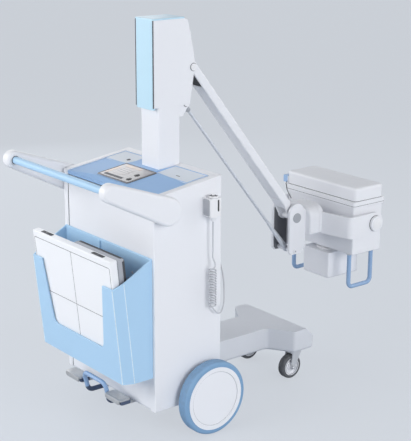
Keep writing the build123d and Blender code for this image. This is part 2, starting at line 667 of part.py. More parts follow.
# Fork: two round-topped plates with cut lower corners, joined by a front web
with BuildPart() as fork:
    for x0 in (FORK_X0, -FORK_X1):
        with BuildSketch(Plane.YZ.offset(x0)) as plate_view:
            with Locations((FORK_Y, (FORK_ZT - FORK_HALF + FORK_ZB) / 2)):
                Rectangle(2 * FORK_HALF, FORK_ZT - FORK_HALF - FORK_ZB)
            chamfer(plate_view.vertices().group_by(Axis.Y)[0], FORK_CUT)
            with Locations((FORK_Y, FORK_ZT - FORK_HALF)):
                Circle(FORK_HALF)
        extrude(amount=FORK_T)
    web_z0, web_z1 = FORK_ZB + FORK_CUT, FORK_Z + FORK_WEB_TOP
    with BuildSketch(Plane.XZ.offset(-(HUB_Y0))) as web_view:
        with Locations((0, (web_z0 + web_z1) / 2)):
            RectangleRounded(2 * FORK_X1, web_z1 - web_z0, FORK_CUT)
    extrude(amount=FORK_WEB_T + FORK_T / 5)
    for y, z, r in ((FORK_Y, FORK_Z, PIN_R), (FORK_Y + ROD_DY, FORK_Z + ROD_DZ, ROD_PIN_R)):
        with BuildSketch(Plane.YZ.offset(-FORK_X1)):
            with Locations((y, z)):
                Circle(r)
        extrude(amount=2 * FORK_X1, mode=Mode.SUBTRACT)
save(fork.part, "fork")


def arch_view(y):
    """Upright outline with a high round top and a flat foot, on a plane that looks back from y."""
    with BuildSketch(Plane.XZ.offset(-y)) as view:
        with Locations((0, TILT_Z + (ARCH_UP - ARCH_DOWN) / 2)):
            Rectangle(2 * ARCH_X, ARCH_UP + ARCH_DOWN)
        fillet(view.vertices().group_by(Axis.Y)[-1], ARCH_TOP_R)
        fillet(view.vertices().group_by(Axis.Y)[0], ARCH_FOOT_R)
    return view.sketch


# Swivel housing with its pin through the yoke
pin_end = YOKE_Y0 + YOKE_T
with BuildPart() as housing:
    extrude(arch_view(HUB_Y0 + SWIVEL_L), amount=SWIVEL_L)
    fillet(housing.faces().sort_by(Axis.Y)[0].edges(), ARCH_EDGE)
    with BuildSketch(Plane.XZ.offset(-pin_end)):
        with Locations((0, TILT_Z)):
            Circle(SWIVEL_PIN_R)
    extrude(amount=pin_end - HUB_Y0 - ARCH_EDGE)
save(housing.part, "swivel_housing")

# Yoke: a bent plate round the head, its ends round about the tilt axis, with the arch on its middle
with BuildPart() as yoke:
    with BuildSketch(Plane.XY.offset(TILT_Z - YOKE_H / 2)) as plan:
        with BuildLine():
            Polyline((-YOKE_X, TILT_Y + YOKE_H), (-YOKE_X, YOKE_Y0 + YOKE_BEND_Y), (-ARCH_X, YOKE_Y0),
                     (ARCH_X, YOKE_Y0), (YOKE_X, YOKE_Y0 + YOKE_BEND_Y), (YOKE_X, TILT_Y + YOKE_H), close=True)
        make_face()
        fillet(plan.vertices().filter_by(lambda v: v.Y < TILT_Y), YOKE_BEND_R + YOKE_T)
        offset(amount=-YOKE_T, mode=Mode.SUBTRACT)
    extrude(amount=YOKE_H)
    with BuildSketch(Plane.YZ.offset(-YOKE_X)):
        with Locations(((YOKE_Y0 + TILT_Y) / 2, TILT_Z)):
            Rectangle(TILT_Y - YOKE_Y0, YOKE_H)
        with Locations((TILT_Y, TILT_Z)):
            Circle(YOKE_H / 2)
    extrude(amount=2 * YOKE_X, mode=Mode.INTERSECT)
    extrude(arch_view(YOKE_Y0 + YOKE_T), amount=YOKE_DISC_T + YOKE_T)
    with BuildSketch(Plane.XZ.offset(-YOKE_Y0 - YOKE_T)):
        with Locations((0, TILT_Z)):
            Circle(SWIVEL_PIN_R + RUN_FIT)
    extrude(amount=YOKE_T + YOKE_DISC_T, mode=Mode.SUBTRACT)
    with BuildSketch(Plane.YZ.offset(-YOKE_X)):
        with Locations((TILT_Y, TILT_Z)):
            Circle(TILT_PIN_R)
    extrude(amount=2 * YOKE_X, mode=Mode.SUBTRACT)
save(yoke.part, "yoke")

# Tilt knobs, whose shafts run in the head
for side, s in SIDES:
    profile = [(-TILT_PIN_IN - YOKE_T, 0), (-TILT_PIN_IN - YOKE_T, TILT_PIN_R), (0, TILT_PIN_R), (0, KNOB_R),
               (KNOB_T, KNOB_R), (KNOB_T, 0)]
    save(turned((s * YOKE_X, TILT_Y, TILT_Z), "x", [(s * x, r) for x, r in profile], KNOB_T / 5),
         f"tilt_knob_{side}")

# Tube head body with its tilt bores
with BuildPart() as head_body:
    with BuildSketch(Plane.XY.offset(HEAD_ZB)):
        with Locations((0, (HEAD_Y0 + HEAD_Y1) / 2)):
            RectangleRounded(2 * HEAD_X, HEAD_Y1 - HEAD_Y0, HEAD_EDGE)
    extrude(amount=FLANGE_Z0 - HEAD_ZB)
    chamfer(head_body.faces().sort_by(Axis.Z)[0].edges(), HEAD_EDGE / 2)
    for x0 in (-HEAD_X, HEAD_X - HEAD_BORE_L):
        with BuildSketch(Plane.YZ.offset(x0)):
            with Locations((TILT_Y, TILT_Z)):
                Circle(TILT_PIN_R + RUN_FIT)
        extrude(amount=HEAD_BORE_L, mode=Mode.SUBTRACT)
save(head_body.part, "head_body")

# Flange with the cable terminal on its left end
with BuildPart() as head_flange:
    with BuildSketch(Plane.XY.offset(FLANGE_Z0)):
        with Locations((0, (HEAD_Y0 - FLANGE_OUT_BACK + HEAD_Y1 + FLANGE_OUT_FWD) / 2)):
            RectangleRounded(2 * (HEAD_X + FLANGE_OUT_X), HEAD_Y1 - HEAD_Y0 + FLANGE_OUT_BACK + FLANGE_OUT_FWD,
                             FLANGE_ROUND)
    extrude(amount=FLANGE_T)
    fillet(head_flange.faces().sort_by(Axis.Z)[-1].edges(), HEAD_ROUND)
    fillet(head_flange.faces().sort_by(Axis.Z)[0].edges(), HEAD_ROUND)
    with BuildSketch(Plane.XY.offset(FLANGE_Z0 + TERM_UP)) as plan:
        with Locations((-HEAD_X - FLANGE_OUT_X - (TERM_OUT - TERM_SINK) / 2, HEAD_Y0 + TERM_IN + TERM_Y / 2)):
            Rectangle(TERM_OUT + TERM_SINK, TERM_Y)
        fillet(plan.vertices().group_by(Axis.X)[0], TERM_ROUND)
    extrude(amount=TERM_H)
save(head_flange.part, "head_flange")

# Lid
with BuildPart() as head_lid:
    with BuildSketch(Plane.XY.offset(FLANGE_Z1)):
        with Locations((0, (HEAD_Y0 + HEAD_Y1 - LID_IN_FWD) / 2)):
            RectangleRounded(2 * LID_X, HEAD_Y1 - LID_IN_FWD - HEAD_Y0, LID_ROUND)
    extrude(amount=LID_H)
    fillet(head_lid.faces().sort_by(Axis.Z)[-1].edges(), LID_TOP_ROUND)
save(head_lid.part, "head_lid")

# Turntable and collimator
save(turned((0, COLL_Y, COLL_Z1), "z", [
    (0, 0), (0, PORT_R), (PORT_H / 3, PORT_R), (PORT_H / 2, PORT_NECK_R), (PORT_H, PORT_NECK_R), (PORT_H, 0)]),
    "beam_port")

with BuildPart() as collimator:
    with BuildSketch(Plane.XY.offset(COLL_Z0)):
        with Locations((0, COLL_Y)):
            RectangleRounded(2 * COLL_X, 2 * COLL_HALF_Y, COLL_ROUND)
    extrude(amount=COLL_H)
    chamfer(collimator.faces().sort_by(Axis.Z)[0].edges(), COLL_CHAMFER)
    with BuildSketch(Plane.XZ.offset(-(COLL_Y + COLL_HALF_Y + BLADE_KNOB_L))):
        with Locations((-BLADE_KNOB_X, (COLL_Z0 + COLL_Z1) / 2), (BLADE_KNOB_X, (COLL_Z0 + COLL_Z1) / 2)):
            Circle(BLADE_KNOB_R)
    extrude(amount=BLADE_KNOB_L + COLL_ROUND)
save(collimator.part, "collimator")

# Grips: tubes bent in a U
GRIP_Y0 = HEAD_Y0 + GRIP_IN_BACK
GRIP_Y1 = HEAD_Y1 - GRIP_IN_FWD
GRIP_Z = HEAD_ZB - GRIP_DROP
for side, s in SIDES:
    x = s * (HEAD_X - GRIP_IN_X)
    with BuildPart() as grip:
        with BuildLine() as grip_line:
            FilletPolyline((x, GRIP_Y0, HEAD_ZB), (x, GRIP_Y0, GRIP_Z), (x, GRIP_Y1, GRIP_Z),
                           (x, GRIP_Y1, HEAD_ZB), radius=GRIP_BEND)
        with BuildSketch(Plane(origin=(x, GRIP_Y0, HEAD_ZB), z_dir=(0, 0, -1))):
            Circle(GRIP_R)
        sweep(path=grip_line.line)
    save(grip.part, f"head_grip_{side}")

# Base frame
with BuildPart() as base:
    with BuildSketch(Plane.XY.offset(BASE_Z0)) as plan:
        with BuildLine():
            Polyline((-BEAM_X, CAB_Y0 + BEAM_IN), (BEAM_X, CAB_Y0 + BEAM_IN), (BEAM_X, BAR_Y_IN), (BAR_X, BAR_Y0),
                     (BAR_X, BAR_Y2), (-BAR_X, BAR_Y2), (-BAR_X, BAR_Y0), (-BEAM_X, BAR_Y_IN), close=True)
        make_face()
        fillet(plan.vertices().filter_by_position(Axis.Y, BAR_Y0 - 1, BAR_Y2 + 1), BAR_ROUND)
        fillet(plan.vertices().filter_by_position(Axis.Y, BAR_Y_IN - 1, BAR_Y_IN + 1), CROOK_R)
    extrude(amount=BASE_H)
    with BuildSketch(Plane.YZ.offset(-BAR_X)):
        with BuildLine():
            Polyline((BAR_Y1, BASE_Z1), (BAR_Y2, BASE_Z1 - BAR_DROP), (BAR_Y2 + BAR_DROP, BASE_Z1 - BAR_DROP),
                     (BAR_Y2 + BAR_DROP, BASE_Z1 + BAR_DROP), (BAR_Y1, BASE_Z1 + BAR_DROP), close=True)
        make_face()
    extrude(amount=2 * BAR_X, mode=Mode.SUBTRACT)
    front_low = base.edges().filter_by(Axis.X).group_by(Axis.Z)[0].sort_by(Axis.Y)[-1]
    fillet(front_low, BAR_ROUND)
    with BuildSketch(Plane.XY.offset(BASE_Z0)):
        with Locations((-CAST_X, CAST_Y), (CAST_X, CAST_Y)):
            Circle(STEM_R + RUN_FIT)
    extrude(amount=STEM_L + SIDE_PLAY, mode=Mode.SUBTRACT)
save(base.part, "base_frame")

# Casters
AX_Y = CAST_Y - CAST_TRAIL
PLATE_Z1 = BASE_Z0 - SIDE_PLAY
PLATE_Z0 = PLATE_Z1 - CAST_PLATE_T
CROWN_T = CAST_PLATE_T
CHEEK_X0 = CAST_W / 2 + CAST_CHEEK_GAP
for side, s in SIDES:
    x = s * CAST_X
    with BuildPart() as cfork:
        with BuildSketch(Plane.XY.offset(PLATE_Z0)):
            with Locations((x, CAST_Y)):
                Circle(CAST_PLATE_R)
        extrude(amount=CAST_PLATE_T)
        with BuildSketch(Plane.XY.offset(PLATE_Z1)):
            with Locations((x, CAST_Y)):
                Circle(STEM_R)
        extrude(amount=STEM_L)
        with BuildSketch(Plane.XY.offset(PLATE_Z0 - CROWN_T)):
            with Locations((x, (CAST_Y + AX_Y) / 2 + CAST_CHEEK_T)):
                RectangleRounded(2 * (CHEEK_X0 + CAST_CHEEK_T), CAST_TRAIL + 2 * STEM_R, STEM_R)
        extrude(amount=CROWN_T)
        for k in (-1, 1):
            with BuildSketch(Plane.YZ.offset(x + (CHEEK_X0 if k > 0 else -CHEEK_X0 - CAST_CHEEK_T))):
                with BuildLine():
                    top_y0, top_y1 = AX_Y - CAST_CHEEK_T / 2, CAST_Y + STEM_R
                    Polyline((AX_Y - 2 * CAST_PIN_R, CAST_R), (AX_Y + 2 * CAST_PIN_R, CAST_R),
                             (top_y1, PLATE_Z0 - CROWN_T / 2), (top_y0, PLATE_Z0 - CROWN_T / 2), close=True)
                make_face()
                with Locations((AX_Y, CAST_R)):
                    Circle(2 * CAST_PIN_R)
            extrude(amount=CAST_CHEEK_T)
        with BuildSketch(Plane.YZ.offset(x - CHEEK_X0 - CAST_CHEEK_T)):
            with Locations((AX_Y, CAST_R)):
                Circle(CAST_PIN_R)
        extrude(amount=2 * (CHEEK_X0 + CAST_CHEEK_T))
    save(cfork.part, f"caster_fork_{side}")
    rim, half = CAST_R - CAST_TYRE_DEPTH, CAST_W / 2
    save(turned((x, AX_Y, CAST_R), "x", [(-half, rim), (half, rim), (half, CAST_R), (-half, CAST_R)],
                CAST_TYRE_DEPTH / 2), f"caster_tyre_{side}")
    bore, web, boss = CAST_PIN_R + RUN_FIT, CAST_W / 4, 3 * CAST_PIN_R
    save(turned((x, AX_Y, CAST_R), "x", [
        (-half, bore), (-half, boss), (-web, boss), (-web, rim - CAST_PIN_R), (-half, rim - CAST_PIN_R / 2),
        (-half, rim), (half, rim), (half, rim - CAST_PIN_R / 2), (web, rim - CAST_PIN_R), (web, boss),
        (half, boss), (half, bore)]), f"caster_hub_{side}")

# Rear wheels and their spindles
HUB_HALF = TYRE_W / 2 + HUB_PROUD
SPIN_X0 = CAB_W / 2
WHEEL_MID = SPIN_X0 + WHEEL_GAP + TYRE_W / 2
for side, s in SIDES:
    save(turned((s * SPIN_X0, AXLE_Y, WHEEL_R), "x", [(s * x, r) for x, r in (
        (0, 0), (0, SPINDLE_FLANGE_R), (SPINDLE_FLANGE_T, SPINDLE_FLANGE_R), (SPINDLE_FLANGE_T, SPINDLE_R),
        (SPINDLE_L, SPINDLE_R), (SPINDLE_L, 0))]), f"wheel_spindle_{side}")
    centre = (s * WHEEL_MID, AXLE_Y, WHEEL_R)
    save(turned(centre, "x", [(-TYRE_W / 2, RIM_R), (TYRE_W / 2, RIM_R), (TYRE_W / 2, WHEEL_R),
                              (-TYRE_W / 2, WHEEL_R)], TREAD_ROUND), f"wheel_tyre_{side}")
    blind = SPIN_X0 + SPINDLE_L + SIDE_PLAY - WHEEL_MID
    dish = RIM_R - RING_W
    hub_outline = [
        (-HUB_HALF, SPINDLE_R + RUN_FIT), (-HUB_HALF, BOSS_R), (-WEB_T / 2, BOSS_R + BOSS_CONE),
        (-WEB_T / 2, dish - BOSS_CONE), (-HUB_HALF, dish), (-HUB_HALF, RIM_R), (HUB_HALF, RIM_R), (HUB_HALF, dish),
        (HUB_HALF - DISC_SUNK, dish - DISC_STEP), (HUB_HALF - DISC_SUNK, 0), (blind, 0),
        (blind, SPINDLE_R + RUN_FIT)]
    save(turned(centre, "x", [(s * x, r) for x, r in hub_outline]), f"wheel_hub_{side}")

# Cassette bin: a leaning box with cut front corners, shelled, with a wide window in its front
with BuildPart() as bin_part:
    with BuildSketch(Plane.YZ.offset(-BIN_X)):
        with BuildLine():
            Polyline((BIN_Y, BIN_ZB), (BIN_YB, BIN_ZB), (BIN_YT, BIN_ZF), (BIN_Y, BIN_ZT), close=True)
        make_face()
    extrude(amount=2 * BIN_X)
    lean_y = (BIN_ZT - BIN_ZB) * tan(radians(BIN_LEAN))
    for s in (-1, 1):
        for z, y in ((BIN_ZB, BIN_YB), (BIN_ZT, BIN_YB - lean_y)):
            with BuildSketch(Plane.XY.offset(z)):
                with BuildLine():
                    Polyline((s * BIN_X, y + BIN_CUT_Y), (s * BIN_X, y), (s * (BIN_X - BIN_CUT_X), y), close=True)
                make_face()
        loft(mode=Mode.SUBTRACT)
    offset(amount=-BIN_T, openings=bin_part.faces().filter_by(lambda f: f.normal_at().Z > 0.5))
    with BuildSketch(Plane.XZ.offset(-BIN_YT)) as window:
        sill = BIN_ZB + WINDOW_LOW
        with BuildLine():
            Polyline((-WINDOW_TOP_X, BIN_ZT), (-WINDOW_TOP_X, BIN_ZF - BIN_T), (-WINDOW_LOW_X, sill),
                     (WINDOW_LOW_X, sill), (WINDOW_TOP_X, BIN_ZF - BIN_T), (WINDOW_TOP_X, BIN_ZT), close=True)
        make_face()
        fillet(window.vertices().group_by(Axis.Y)[0], WINDOW_R)
    extrude(amount=BIN_OUT_TOP / 2, both=True, mode=Mode.SUBTRACT)
    with BuildSketch(Plane.XY.offset(BIN_ZB + BIN_T)):
        with Locations((BIN_RIB_X, BIN_Y - BIN_T - BIN_RIB_T / 2)):
            Rectangle(BIN_RIB_W, BIN_RIB_T)
    extrude(amount=BIN_ZT - BIN_ZB - 2 * BIN_T)
save(bin_part.part, "cassette_bin")

# Cassettes, leaning with the bin's front wall
stack = CASSETTE_GAP
for name, x0, x1, h, t in CASSETTES:
    foot_y = BIN_YB + BIN_T + CASSETTE_GAP + stack + t / 2
    foot_z = BIN_ZB + BIN_T + REST + t / 2 * sin(radians(BIN_LEAN))
    with BuildPart() as cassette:
        with Locations(Location(((x0 + x1) / 2, foot_y, foot_z), (BIN_LEAN, 0, 0))):
            Box(x1 - x0, t, h, align=(Align.CENTER, Align.CENTER, Align.MIN))
        fillet(cassette.edges(), CASSETTE_EDGE)
    save(cassette.part, name)
    stack += t + CASSETTE_GAP

# Push handle
for side, s in SIDES:
    with BuildPart() as harm:
        with BuildSketch(Plane.YZ.offset(HANDLE_X0 if s > 0 else -HANDLE_X0 - HANDLE_T)):
            with Locations(HANDLE_ROOT):
                Circle(HANDLE_ROOT_R)
            with Locations(HANDLE_END):
                Circle(HANDLE_END_R)
            make_hull()
        extrude(amount=HANDLE_T)
        fillet(harm.faces().filter_by(Axis.X).edges(), HANDLE_ROUND)
        with BuildSketch(Plane.YZ.offset(CAB_W / 2 if s > 0 else -HANDLE_X0)):
            with Locations(HANDLE_ROOT):
                Circle(HANDLE_BOSS_R)
        extrude(amount=HANDLE_GAP)
    save(harm.part, f"handle_arm_{side}")
with BuildPart() as hbar:
    with BuildSketch(Plane.YZ.offset(-HANDLE_X0)):
        with Locations(HANDLE_END):
            Circle(BAR_R)
    extrude(amount=2 * HANDLE_X0)
save(hbar.part, "handle_bar")

# Brake bail: a bent tube on two lugs under the cabinet
BAIL_Z0 = CAB_Z0 - BAIL_DROP
BAIL_Y0 = CAB_Y0 + BAIL_IN
with BuildPart() as bail:
    with BuildLine() as bail_line:
        FilletPolyline((-BAIL_X, BAIL_Y0, BAIL_Z0), (-BAIL_X, CAB_Y0 - BAIL_OUT_LOW, BAIL_Z0),
                       (-BAIL_TOP_X, CAB_Y0 - BAIL_OUT_TOP, BAIL_Z0 + BAIL_RISE),
                       (BAIL_TOP_X, CAB_Y0 - BAIL_OUT_TOP, BAIL_Z0 + BAIL_RISE),
                       (BAIL_X, CAB_Y0 - BAIL_OUT_LOW, BAIL_Z0), (BAIL_X, BAIL_Y0, BAIL_Z0), radius=BAIL_BEND)
    with BuildSketch(Plane(origin=(-BAIL_X, BAIL_Y0, BAIL_Z0), z_dir=(0, -1, 0))):
        Circle(BAIL_R)
    sweep(path=bail_line.line)
    with BuildSketch(Plane.XY.offset(BAIL_Z0)):
        with Locations((-BAIL_X, BAIL_Y0 - BAIL_LUG_IN), (BAIL_X, BAIL_Y0 - BAIL_LUG_IN)):
            Rectangle(BAIL_LUG_X, BAIL_LUG_Y)
    extrude(amount=BAIL_DROP)
save(bail.part, "brake_bail")

# Brake pedals: a plate with its rear edge turned down, on a stalk from under the cabinet
for side, s in SIDES:
    x, y = s * PEDAL_MID, CAB_Y0 - PEDAL_OUT
    z = CAB_Z0 + PEDAL_UP
    with BuildPart() as pedal:
        with BuildSketch(Plane.XY.offset(z - PEDAL_T / 2)):
            with Locations((x, y)):
                RectangleRounded(PEDAL_X, PEDAL_Y, PEDAL_EDGE)
        extrude(amount=PEDAL_T)
        with BuildSketch(Plane.XY.offset(z)):
            with Locations((x, y - (PEDAL_Y - PEDAL_T) / 2)):
                Rectangle(PEDAL_X - 2 * PEDAL_EDGE, PEDAL_T)
        extrude(amount=-PEDAL_LIP)
        with BuildSketch(Plane.XY.offset(CAB_Z0 - STALK_T)):
            with Locations((x, CAB_Y0 + (STALK_IN - STALK_OUT) / 2)):
                Rectangle(STALK_X, STALK_IN + STALK_OUT)
        extrude(amount=STALK_T)
        with BuildSketch(Plane.XY.offset(CAB_Z0 - STALK_T)):
            with Locations((x, CAB_Y0 - STALK_OUT + STALK_STEM / 2)):
                Rectangle(STALK_X, STALK_STEM)
        extrude(amount=STALK_T + PEDAL_UP)
    save(pedal.part, f"pedal_{side}")

# Hand switch in its holder on the right side
with BuildPart() as holder:
    with BuildSketch(Plane.XY.offset(HAND_Z - HOLDER_H / 2)) as plan:
        with Locations((CAB_W / 2 + HOLDER_X / 2, HAND_Y)):
            Rectangle(HOLDER_X, HOLDER_Y)
        fillet(plan.vertices().group_by(Axis.X)[-1], HOLDER_ROUND)
        with Locations((HAND_X, HAND_Y)):
            Circle(HAND_R + REST, mode=Mode.SUBTRACT)
    extrude(amount=HOLDER_H)
save(holder.part, "hand_switch_holder")

save(turned((HAND_X, HAND_Y, HAND_Z), "z", [
    (-HAND_L / 2 - HAND_TAPER_L, 0), (-HAND_L / 2 - HAND_TAPER_L, HAND_TAPER_R), (-HAND_L / 2, HAND_R),
    (HAND_L / 2, HAND_R), (HAND_L / 2, HAND_TAPER_R), (HAND_L / 2 + HAND_TAPER_R, HAND_TAPER_R),
    (HAND_L / 2 + HAND_TAPER_R, 0)]), "hand_switch")

# Curly cord as one plain tube, the straight lead above it and the gland on the front panel
with BuildPart() as coil:
    with BuildSketch(Plane.XY.offset(COIL_Z0)):
        with Locations((HAND_X, HAND_Y)):
            Circle(COIL_R)
    extrude(amount=COIL_L)
save(coil.part, "cord_coil")

with BuildPart() as lead:
    with BuildSketch(Plane.XY.offset(COIL_Z1)):
        with Locations((HAND_X, HAND_Y)):
            Circle(CORD_R)
    extrude(amount=COIL_DROP)
save(lead.part, "cord_lead")

GLAND_Y = CAB_Y1 + GLAND_L - SET_BACK
with BuildPart() as gland:
    with BuildSketch(Plane.XZ.offset(-GLAND_Y)):
        with Locations((GLAND_X, GLAND_Z)):
            Circle(GLAND_R)
    extrude(amount=GLAND_L)
save(gland.part, "cord_gland")

# Tail of the cord: straight runs joined by arcs, from the coil's foot round to the gland.
# Corners on the way: share of the way across from gland to coil, in front of the cabinet, below the gland
TAIL_BENDS = [(0.872, -2.0, 147.0), (0.734, 19.0, 104.0), (0.477, 35.0, 58.0), (0.22, 43.0, 22.0)]
TAIL_DROP = 28.0          # straight down from the coil
TAIL_LOW = 37.0
TAIL_SIDE = 3.0
TAIL_FWD = 30.0
TAIL_STUB = 33.0          # straight out of the gland
TAIL = [
    (HAND_X, HAND_Y, COIL_Z0),
    (HAND_X, HAND_Y, COIL_Z0 - TAIL_DROP),
    (HAND_X - TAIL_SIDE, HAND_Y + TAIL_FWD, COIL_Z0 - TAIL_LOW),
    *[(GLAND_X + share * (HAND_X - GLAND_X), CAB_Y1 + dy, GLAND_Z - dz) for share, dy, dz in TAIL_BENDS],
    (GLAND_X, GLAND_Y + TAIL_STUB, GLAND_Z),
    (GLAND_X, GLAND_Y, GLAND_Z),
]


def arc_radii(points, share=0.45):
    """Radius of each bend: a share of the shorter run beside it, over the tangent of half its turn."""
    vectors = [Vector(*b) - Vector(*a) for a, b in zip(points, points[1:])]
    return [share * min(a.length, b.length) / tan(radians(a.get_angle(b) / 2)) for a, b in zip(vectors, vectors[1:])]


TAIL_RADII = arc_radii(TAIL)
print("cord_tail radii", [round(r, 1) for r in TAIL_RADII])
with BuildPart() as tail:
    with BuildLine() as tail_line:
        FilletPolyline(*TAIL, radius=TAIL_RADII)
    with BuildSketch(Plane(origin=TAIL[0], z_dir=(0, 0, -1))):
        Circle(CORD_R)
    sweep(path=tail_line.line)
save(tail.part, "cord_tail")
tail_length = sum(edge.length for edge in tail_line.line.edges())
print("cord_tail length", round(tail_length, 1), "from its volume", round(tail.part.volume / (pi * CORD_R ** 2), 1))
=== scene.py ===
"""Looks of the portable x-ray machine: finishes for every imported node, and the fine pieces that ride on them."""

import json
import logging
import math
from dataclasses import dataclass, field
from enum import Enum
from typing import Callable, Iterable, Sequence

import bmesh
import bpy
from mathutils import Matrix, Vector


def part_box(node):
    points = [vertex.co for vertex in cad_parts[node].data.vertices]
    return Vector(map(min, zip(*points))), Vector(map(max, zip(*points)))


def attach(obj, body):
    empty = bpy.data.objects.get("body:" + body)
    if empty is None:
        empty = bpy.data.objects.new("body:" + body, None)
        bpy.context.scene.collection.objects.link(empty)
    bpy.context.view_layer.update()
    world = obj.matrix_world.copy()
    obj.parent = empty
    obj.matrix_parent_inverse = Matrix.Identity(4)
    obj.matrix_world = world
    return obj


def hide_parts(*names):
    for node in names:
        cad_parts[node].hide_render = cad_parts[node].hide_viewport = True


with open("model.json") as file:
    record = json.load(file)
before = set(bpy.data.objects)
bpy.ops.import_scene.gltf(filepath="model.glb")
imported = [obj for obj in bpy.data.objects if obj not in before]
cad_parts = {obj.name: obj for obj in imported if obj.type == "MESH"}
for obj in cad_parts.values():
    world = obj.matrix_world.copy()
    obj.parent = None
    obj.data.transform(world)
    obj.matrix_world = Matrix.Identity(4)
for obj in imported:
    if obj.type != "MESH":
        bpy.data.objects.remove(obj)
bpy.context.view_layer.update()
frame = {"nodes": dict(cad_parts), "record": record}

log = logging.getLogger("xray_machine")

Point = tuple[float, float, float]
Colour = tuple[float, float, float, float]

HARD_EDGE = math.radians(40.0)
NARROWEST_MITRE = 0.35
DUST_TONE = (188, 186, 180)


def paint(red: int, green: int, blue: int) -> Colour:
    """Turn a colour as it is seen, in steps of 0 to 255, into the shader's linear colour.

    Args:
        red: Red as seen.
        green: Green as seen.
        blue: Blue as seen.

    Returns:
        The linear colour with full alpha.
    """
    def linear(step: int) -> float:
        """Straighten one channel."""
        value = step / 255.0
        return value / 12.92 if value <= 0.04045 else ((value + 0.055) / 1.055) ** 2.4

    return linear(red), linear(green), linear(blue), 1.0


# Node graphs and the effects that several finishes share


class Graph:
    """Short calls for laying nodes into one node tree."""

    def __init__(self, tree: bpy.types.NodeTree) -> None:
        """Keep the tree that the nodes go into."""
        self.tree = tree

    def add(self, kind: str, **settings: object) -> bpy.types.Node:
        """Lay one node and set its properties.

        Args:
            kind: The node's type name.
            **settings: Properties of the node, by name.

        Returns:
            The new node.
        """
        node = self.tree.nodes.new(kind)
        for name, value in settings.items():
            setattr(node, name, value)
        return node

    def feed(self, socket: bpy.types.NodeSocket, value: object) -> None:
        """Link a socket's source, or set its plain value.

        Args:
            socket: The socket that is fed.
            value: Another node's socket, or a plain value.
        """
        if isinstance(value, bpy.types.NodeSocket):
            self.tree.links.new(value, socket)
        else:
            socket.default_value = value

    def sum(self, operation: str, *terms: object, clamp: bool = False) -> bpy.types.NodeSocket:
        """Work out one step of arithmetic.

        Args:
            operation: The Math node's operation.
            *terms: One to three numbers or sockets.
            clamp: Whether to keep the result from 0 to 1.

        Returns:
            The result's socket.
        """
        node = self.add("ShaderNodeMath", operation=operation, use_clamp=clamp)
        for socket, term in zip(node.inputs, terms):
            self.feed(socket, term)
        return node.outputs[0]

    def blend(self, share: object, first: object, second: object) -> bpy.types.NodeSocket:
        """Mix two colours by a share.

        Args:
            share: How much of the second colour there is.
            first: The colour at 0.
            second: The colour at 1.

        Returns:
            The mixed colour's socket.
        """
        node = self.add("ShaderNodeMix", data_type="RGBA", clamp_factor=True)
        for socket, value in ((node.inputs[0], share), (node.inputs[6], first), (node.inputs[7], second)):
            self.feed(socket, value)
        return node.outputs[2]

    def noise(self, where: object, scale: object, detail: float = 2.0, rough: float = 0.5) -> bpy.types.NodeSocket:
        """Lay a noise texture.

        Args:
            where: The vector socket that places it.
            scale: Waves a metre, or a socket that gives them.
            detail: Octaves.
            rough: How strong the finer octaves are.

        Returns:
            The noise value's socket.
        """
        node = self.add("ShaderNodeTexNoise")
        self.feed(node.inputs["Vector"], where)
        self.feed(node.inputs["Scale"], scale)
        node.inputs["Detail"].default_value = detail
        node.inputs["Roughness"].default_value = rough
        return node.outputs["Fac"]

    def spread(self, value: object, low: float, high: float, to_low: float = 0.0, to_high: float = 1.0
               ) -> bpy.types.NodeSocket:
        """Stretch a value from one range to another, kept inside it.

        Args:
            value: The value's socket.
            low: Where the range starts.
            high: Where it ends.
            to_low: What the start becomes.
            to_high: What the end becomes.

        Returns:
            The stretched value's socket.
        """
        node = self.add("ShaderNodeMapRange", clamp=True)
        for socket, number in zip(node.inputs, (value, low, high, to_low, to_high)):
            self.feed(socket, number)
        return node.outputs[0]


class Effect(Enum):
    """The surface effects that more than one finish uses."""

    TONE = "tone_drift"
    WEAR = "edge_wear"
    PEEL = "orange_peel"
    GRAIN = "moulded_grain"
    BRUSH = "brushed_lines"
    DUST = "settled_dust"
    SCUFF = "fine_scuffs"


